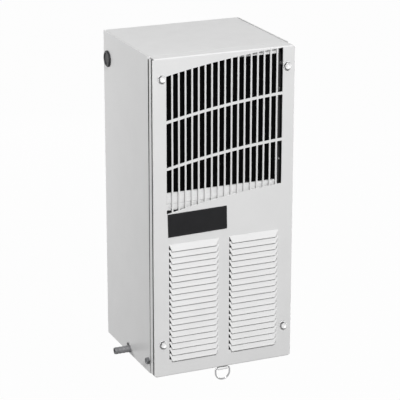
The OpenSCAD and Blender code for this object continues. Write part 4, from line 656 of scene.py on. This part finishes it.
def pull_ring(corner=2.4, fill=0.98):
    """A D of bent wire; its corners' radius is in mm, and the wire fills this share of its solid's."""
    low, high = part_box("pull_ring")
    wire_r = (high[1] - low[1]) / 2
    middle_x, middle_y = (low[0] + high[0]) / 2, (low[1] + high[1]) / 2
    bow_r = (high[0] - low[0]) / 2 - wire_r
    bend_x = bow_r - corner * MM
    bend_z = high[2] - wire_r - corner * MM
    loop = arc(bend_x, bend_z, corner * MM, 90, 0, steps=9)
    loop += arc(0, low[2] + wire_r + bow_r, bow_r, 0, -180, steps=40)
    loop += arc(-bend_x, bend_z, corner * MM, 180, 90, steps=9)
    work = bmesh.new()
    swept(work, [Vector((middle_x + x, middle_y, z)) for x, z in loop], wire_r * fill, sides=20)
    mesh = as_mesh(work, "pull_ring_wire")
    piece("pull_ring_wire", mesh, "bright_steel", "ring", "pull_ring", sharp=60)


pull_ring()


# Badge, blank

# Steps of the raised rim, from the edge in: inset and rise in mm
BADGE_RIM = ((1.3, 0), (0.35, 0.22), (0.7, 0), (0.35, -0.22))


def badge():
    """The blank plate with a raised rim."""
    work = copied("badge_plate")
    bmesh.ops.recalc_face_normals(work, faces=work.faces)
    front = min(work.faces, key=lambda face: face.normal.y)
    for inset, rise in BADGE_RIM:
        bmesh.ops.inset_region(work, faces=[front], thickness=inset * MM, depth=rise * MM)
    rounded(work, 0.12 * MM, degrees=30)
    mesh = as_mesh(work, "badge_blank")
    piece("badge_blank", mesh, "badge_black", "housing", "badge_plate", sharp=50)


badge()


# Foam and seals

# Points this near to a swollen seal's outer faces, in mm, move out with them.
OUTER_FACES = 0.8


def foam_piece(node, step, edge, amount, scale, swell=0.0):
    """Fuller foam in place of a plain one; its outer sides swell out by an amount in mm."""
    work = copied(node)
    outer_x = max(abs(v.co.x) for v in work.verts) - OUTER_FACES * MM
    rounded(work, edge * MM)
    sliced(work, step * MM)
    ruffled(work, amount * MM, scale)
    if swell:
        for v in work.verts:
            if abs(v.co.x) > outer_x:
                v.co.x += math.copysign(swell * MM, v.co.x)
    obj = stand_in(node, "_foam", as_mesh(work, node + "_foam"), sharp=75)


foam_piece("filter_media", step=3.0, edge=0.8, amount=0.7, scale=260)
foam_piece("cover_seal", step=5.0, edge=0.1, amount=0.06, scale=420, swell=0.4)
foam_piece("back_gasket", step=6.0, edge=0.7, amount=0.4, scale=300)
foam_piece("divider_insulation", step=7.0, edge=0.8, amount=0.4, scale=260)


# Filter frame

def filter_frame(chamfer=0.9, edge=0.22, near=0.1):
    """The filter's rails and bars, with a chamfer in mm along the front of the lowest edge."""
    work = copied("filter_frame")
    low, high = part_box("filter_frame")
    foot = [
        e for e in work.edges
        if all(v.co.z < low[2] + near * MM and v.co.y < low[1] + near * MM for v in e.verts)
    ]
    bmesh.ops.bevel(
        work, geom=foot, offset=chamfer * MM, offset_type="OFFSET", segments=1, profile=0.5, affect="EDGES"
    )
    rounded(work, edge * MM, degrees=50)
    stand_in("filter_frame", "_finished", as_mesh(work, "filter_frame_finished"))


filter_frame()


# Sheet metal and the rest

# Width in mm by which each node's edges are eased; 0 leaves them as they are.
EASED = {
    "front_cover": 0.12, "cover_edge_strips": 0.2, "casing_wrap": 0.15, "top_panel": 0.2,
    "bottom_panel": 0.2, "filter_guides": 0.15, "pull_strap": 0.2,
    "hole_plug": 0.25, "drain_spigot": 0.0, "spigot_nut": 0.2, "drain_pan": 0.3,
    "fan_shroud": 0.2, "condenser_end_plates": 0.0, "motor_bracket": 0.3, "fan_motor": 0.4,
    "condenser_fan": 0.25, "fan_shaft": 0.2, "compressor": 0.0, "compressor_grommets": 0.3,
    "compressor_studs": 0.0, "terminal_cover": 0.5, "discharge_line": 0.0, "suction_line": 0.0,
    "liquid_line": 0.0, "filter_drier": 0.0, "capillary_tube": 0.0, "condenser_tubes": 0.0,
    "evaporator_tubes": 0.0, "evaporator_end_plates": 0.0, "divider_panel": 0.2,
    "rear_fan_frame": 0.3, "rear_fan_wheel": 0.2, "rear_fan_guard": 0.0, "wall_nuts": 0.2,
    "clip_nuts": 0.15, "lead_grommet": 0.4, "control_box": 0.25, "control_box_lid": 0.25,
    "terminal_block": 0.25, "relay": 0.35, "run_capacitor": 0.4, "fan_lead": 0.0,
    "thermostat_body": 0.35, "thermostat_dial": 0.2, "sensing_bulb": 0.0, "drain_hose": 0.0,
}

for node, width in EASED.items():
    refined(node, width)


# Floor and background

FLOOR_HEIGHT = -0.53
FLOOR_REACH = 30
FLOOR_TONE = (0.22, 0.22, 0.22, 1)
# Share of white that the camera sees on the floor, so that its shadow still shows
FLOOR_WHITE = 0.98
# Strength of the studio's dim walls, which light the object
WALL_LIGHT = 0.14


def seen_white(tree, lit, white, out, share):
    """Shows the white one of two shaders to camera, glossy and transmission rays, by a share."""
    rays = tree.nodes.new("ShaderNodeLightPath")
    fac = rays.outputs["Is Camera Ray"]
    for kind in ("Is Transmission Ray", "Is Glossy Ray"):
        both = tree.nodes.new("ShaderNodeMath")
        both.operation = "MAXIMUM"
        tree.links.new(fac, both.inputs[0])
        tree.links.new(rays.outputs[kind], both.inputs[1])
        fac = both.outputs[0]
    part = tree.nodes.new("ShaderNodeMath")
    part.operation = "MULTIPLY"
    part.inputs[1].default_value = share
    tree.links.new(fac, part.inputs[0])
    blend = tree.nodes.new("ShaderNodeMixShader")
    for source, socket in zip((part, lit, white), blend.inputs):
        tree.links.new(source.outputs[0], socket)
    tree.links.new(blend.outputs[0], out.inputs["Surface"])


def plain_shader(tree, kind, colour, **values):
    """A shader of one kind and colour, with these values on its sockets."""
    node = tree.nodes.new(kind)
    node.inputs["Color"].default_value = colour
    for key, value in values.items():
        node.inputs[key].default_value = value
    return node


def floor():
    """A pale floor that the camera sees as nearly white."""
    mesh = bpy.data.meshes.new("floor")
    corners = [(x, y, FLOOR_HEIGHT) for x, y in ((-1, -1), (1, -1), (1, 1), (-1, 1))]
    corners = [(x * FLOOR_REACH, y * FLOOR_REACH, z) for x, y, z in corners]
    mesh.from_pydata(corners, [], [(0, 1, 2, 3)])
    obj = bpy.data.objects.new("floor", mesh)
    bpy.context.scene.collection.objects.link(obj)
    paint = bpy.data.materials.new("floor")
    paint.use_nodes = True
    tree = paint.node_tree
    tree.nodes.clear()
    out = tree.nodes.new("ShaderNodeOutputMaterial")
    lit = plain_shader(tree, "ShaderNodeBsdfDiffuse", FLOOR_TONE)
    white = plain_shader(tree, "ShaderNodeEmission", WHITE)
    seen_white(tree, lit, white, out, FLOOR_WHITE)
    mesh.materials.append(paint)


def studio():
    """A world that lights the object dimly and that the camera sees as white."""
    world = bpy.data.worlds.new("studio")
    bpy.context.scene.world = world
    world.use_nodes = True
    tree = world.node_tree
    tree.nodes.clear()
    out = tree.nodes.new("ShaderNodeOutputWorld")
    dim = plain_shader(tree, "ShaderNodeBackground", WHITE, Strength=WALL_LIGHT)
    bright = plain_shader(tree, "ShaderNodeBackground", WHITE, Strength=1.0)
    seen_white(tree, dim, bright, out, share=1.0)


floor()
studio()


# Lamps

def softbox(name, place, aim, width, height, power):
    """A rectangular lamp of a power in watts at a place, turned to what it aims at."""
    lamp = bpy.data.lights.new(name, "AREA")
    lamp.shape = "RECTANGLE"
    lamp.size = width
    lamp.size_y = height
    lamp.energy = power
    obj = bpy.data.objects.new(name, lamp)
    bpy.context.scene.collection.objects.link(obj)
    obj.location = Vector(place)
    obj.rotation_mode = "QUATERNION"
    obj.rotation_quaternion = (Vector(aim) - Vector(place)).to_track_quat("-Z", "Y")


MIDDLE = (0, -0.08, 0)
softbox("key", place=(-0.5, -2.4, 1.68), aim=MIDDLE, width=0.5, height=0.5, power=83)
softbox("overhead", place=(-0.1, -0.4, 2.2), aim=MIDDLE, width=0.6, height=0.6, power=5.8)
softbox("side", place=(-0.74, 0.4, 0.14), aim=(-0.09, -0.02, 0), width=0.35, height=0.35, power=3.8)
softbox("right", place=(1.7, 0.4, -0.12), aim=(0.09, 0.02, -0.02), width=0.9, height=0.5, power=11)
softbox("rear", place=(0.7, 2.1, -0.12), aim=(0, 0, -0.05), width=0.8, height=0.5, power=9)

bpy.context.scene.view_settings.view_transform = "Standard"
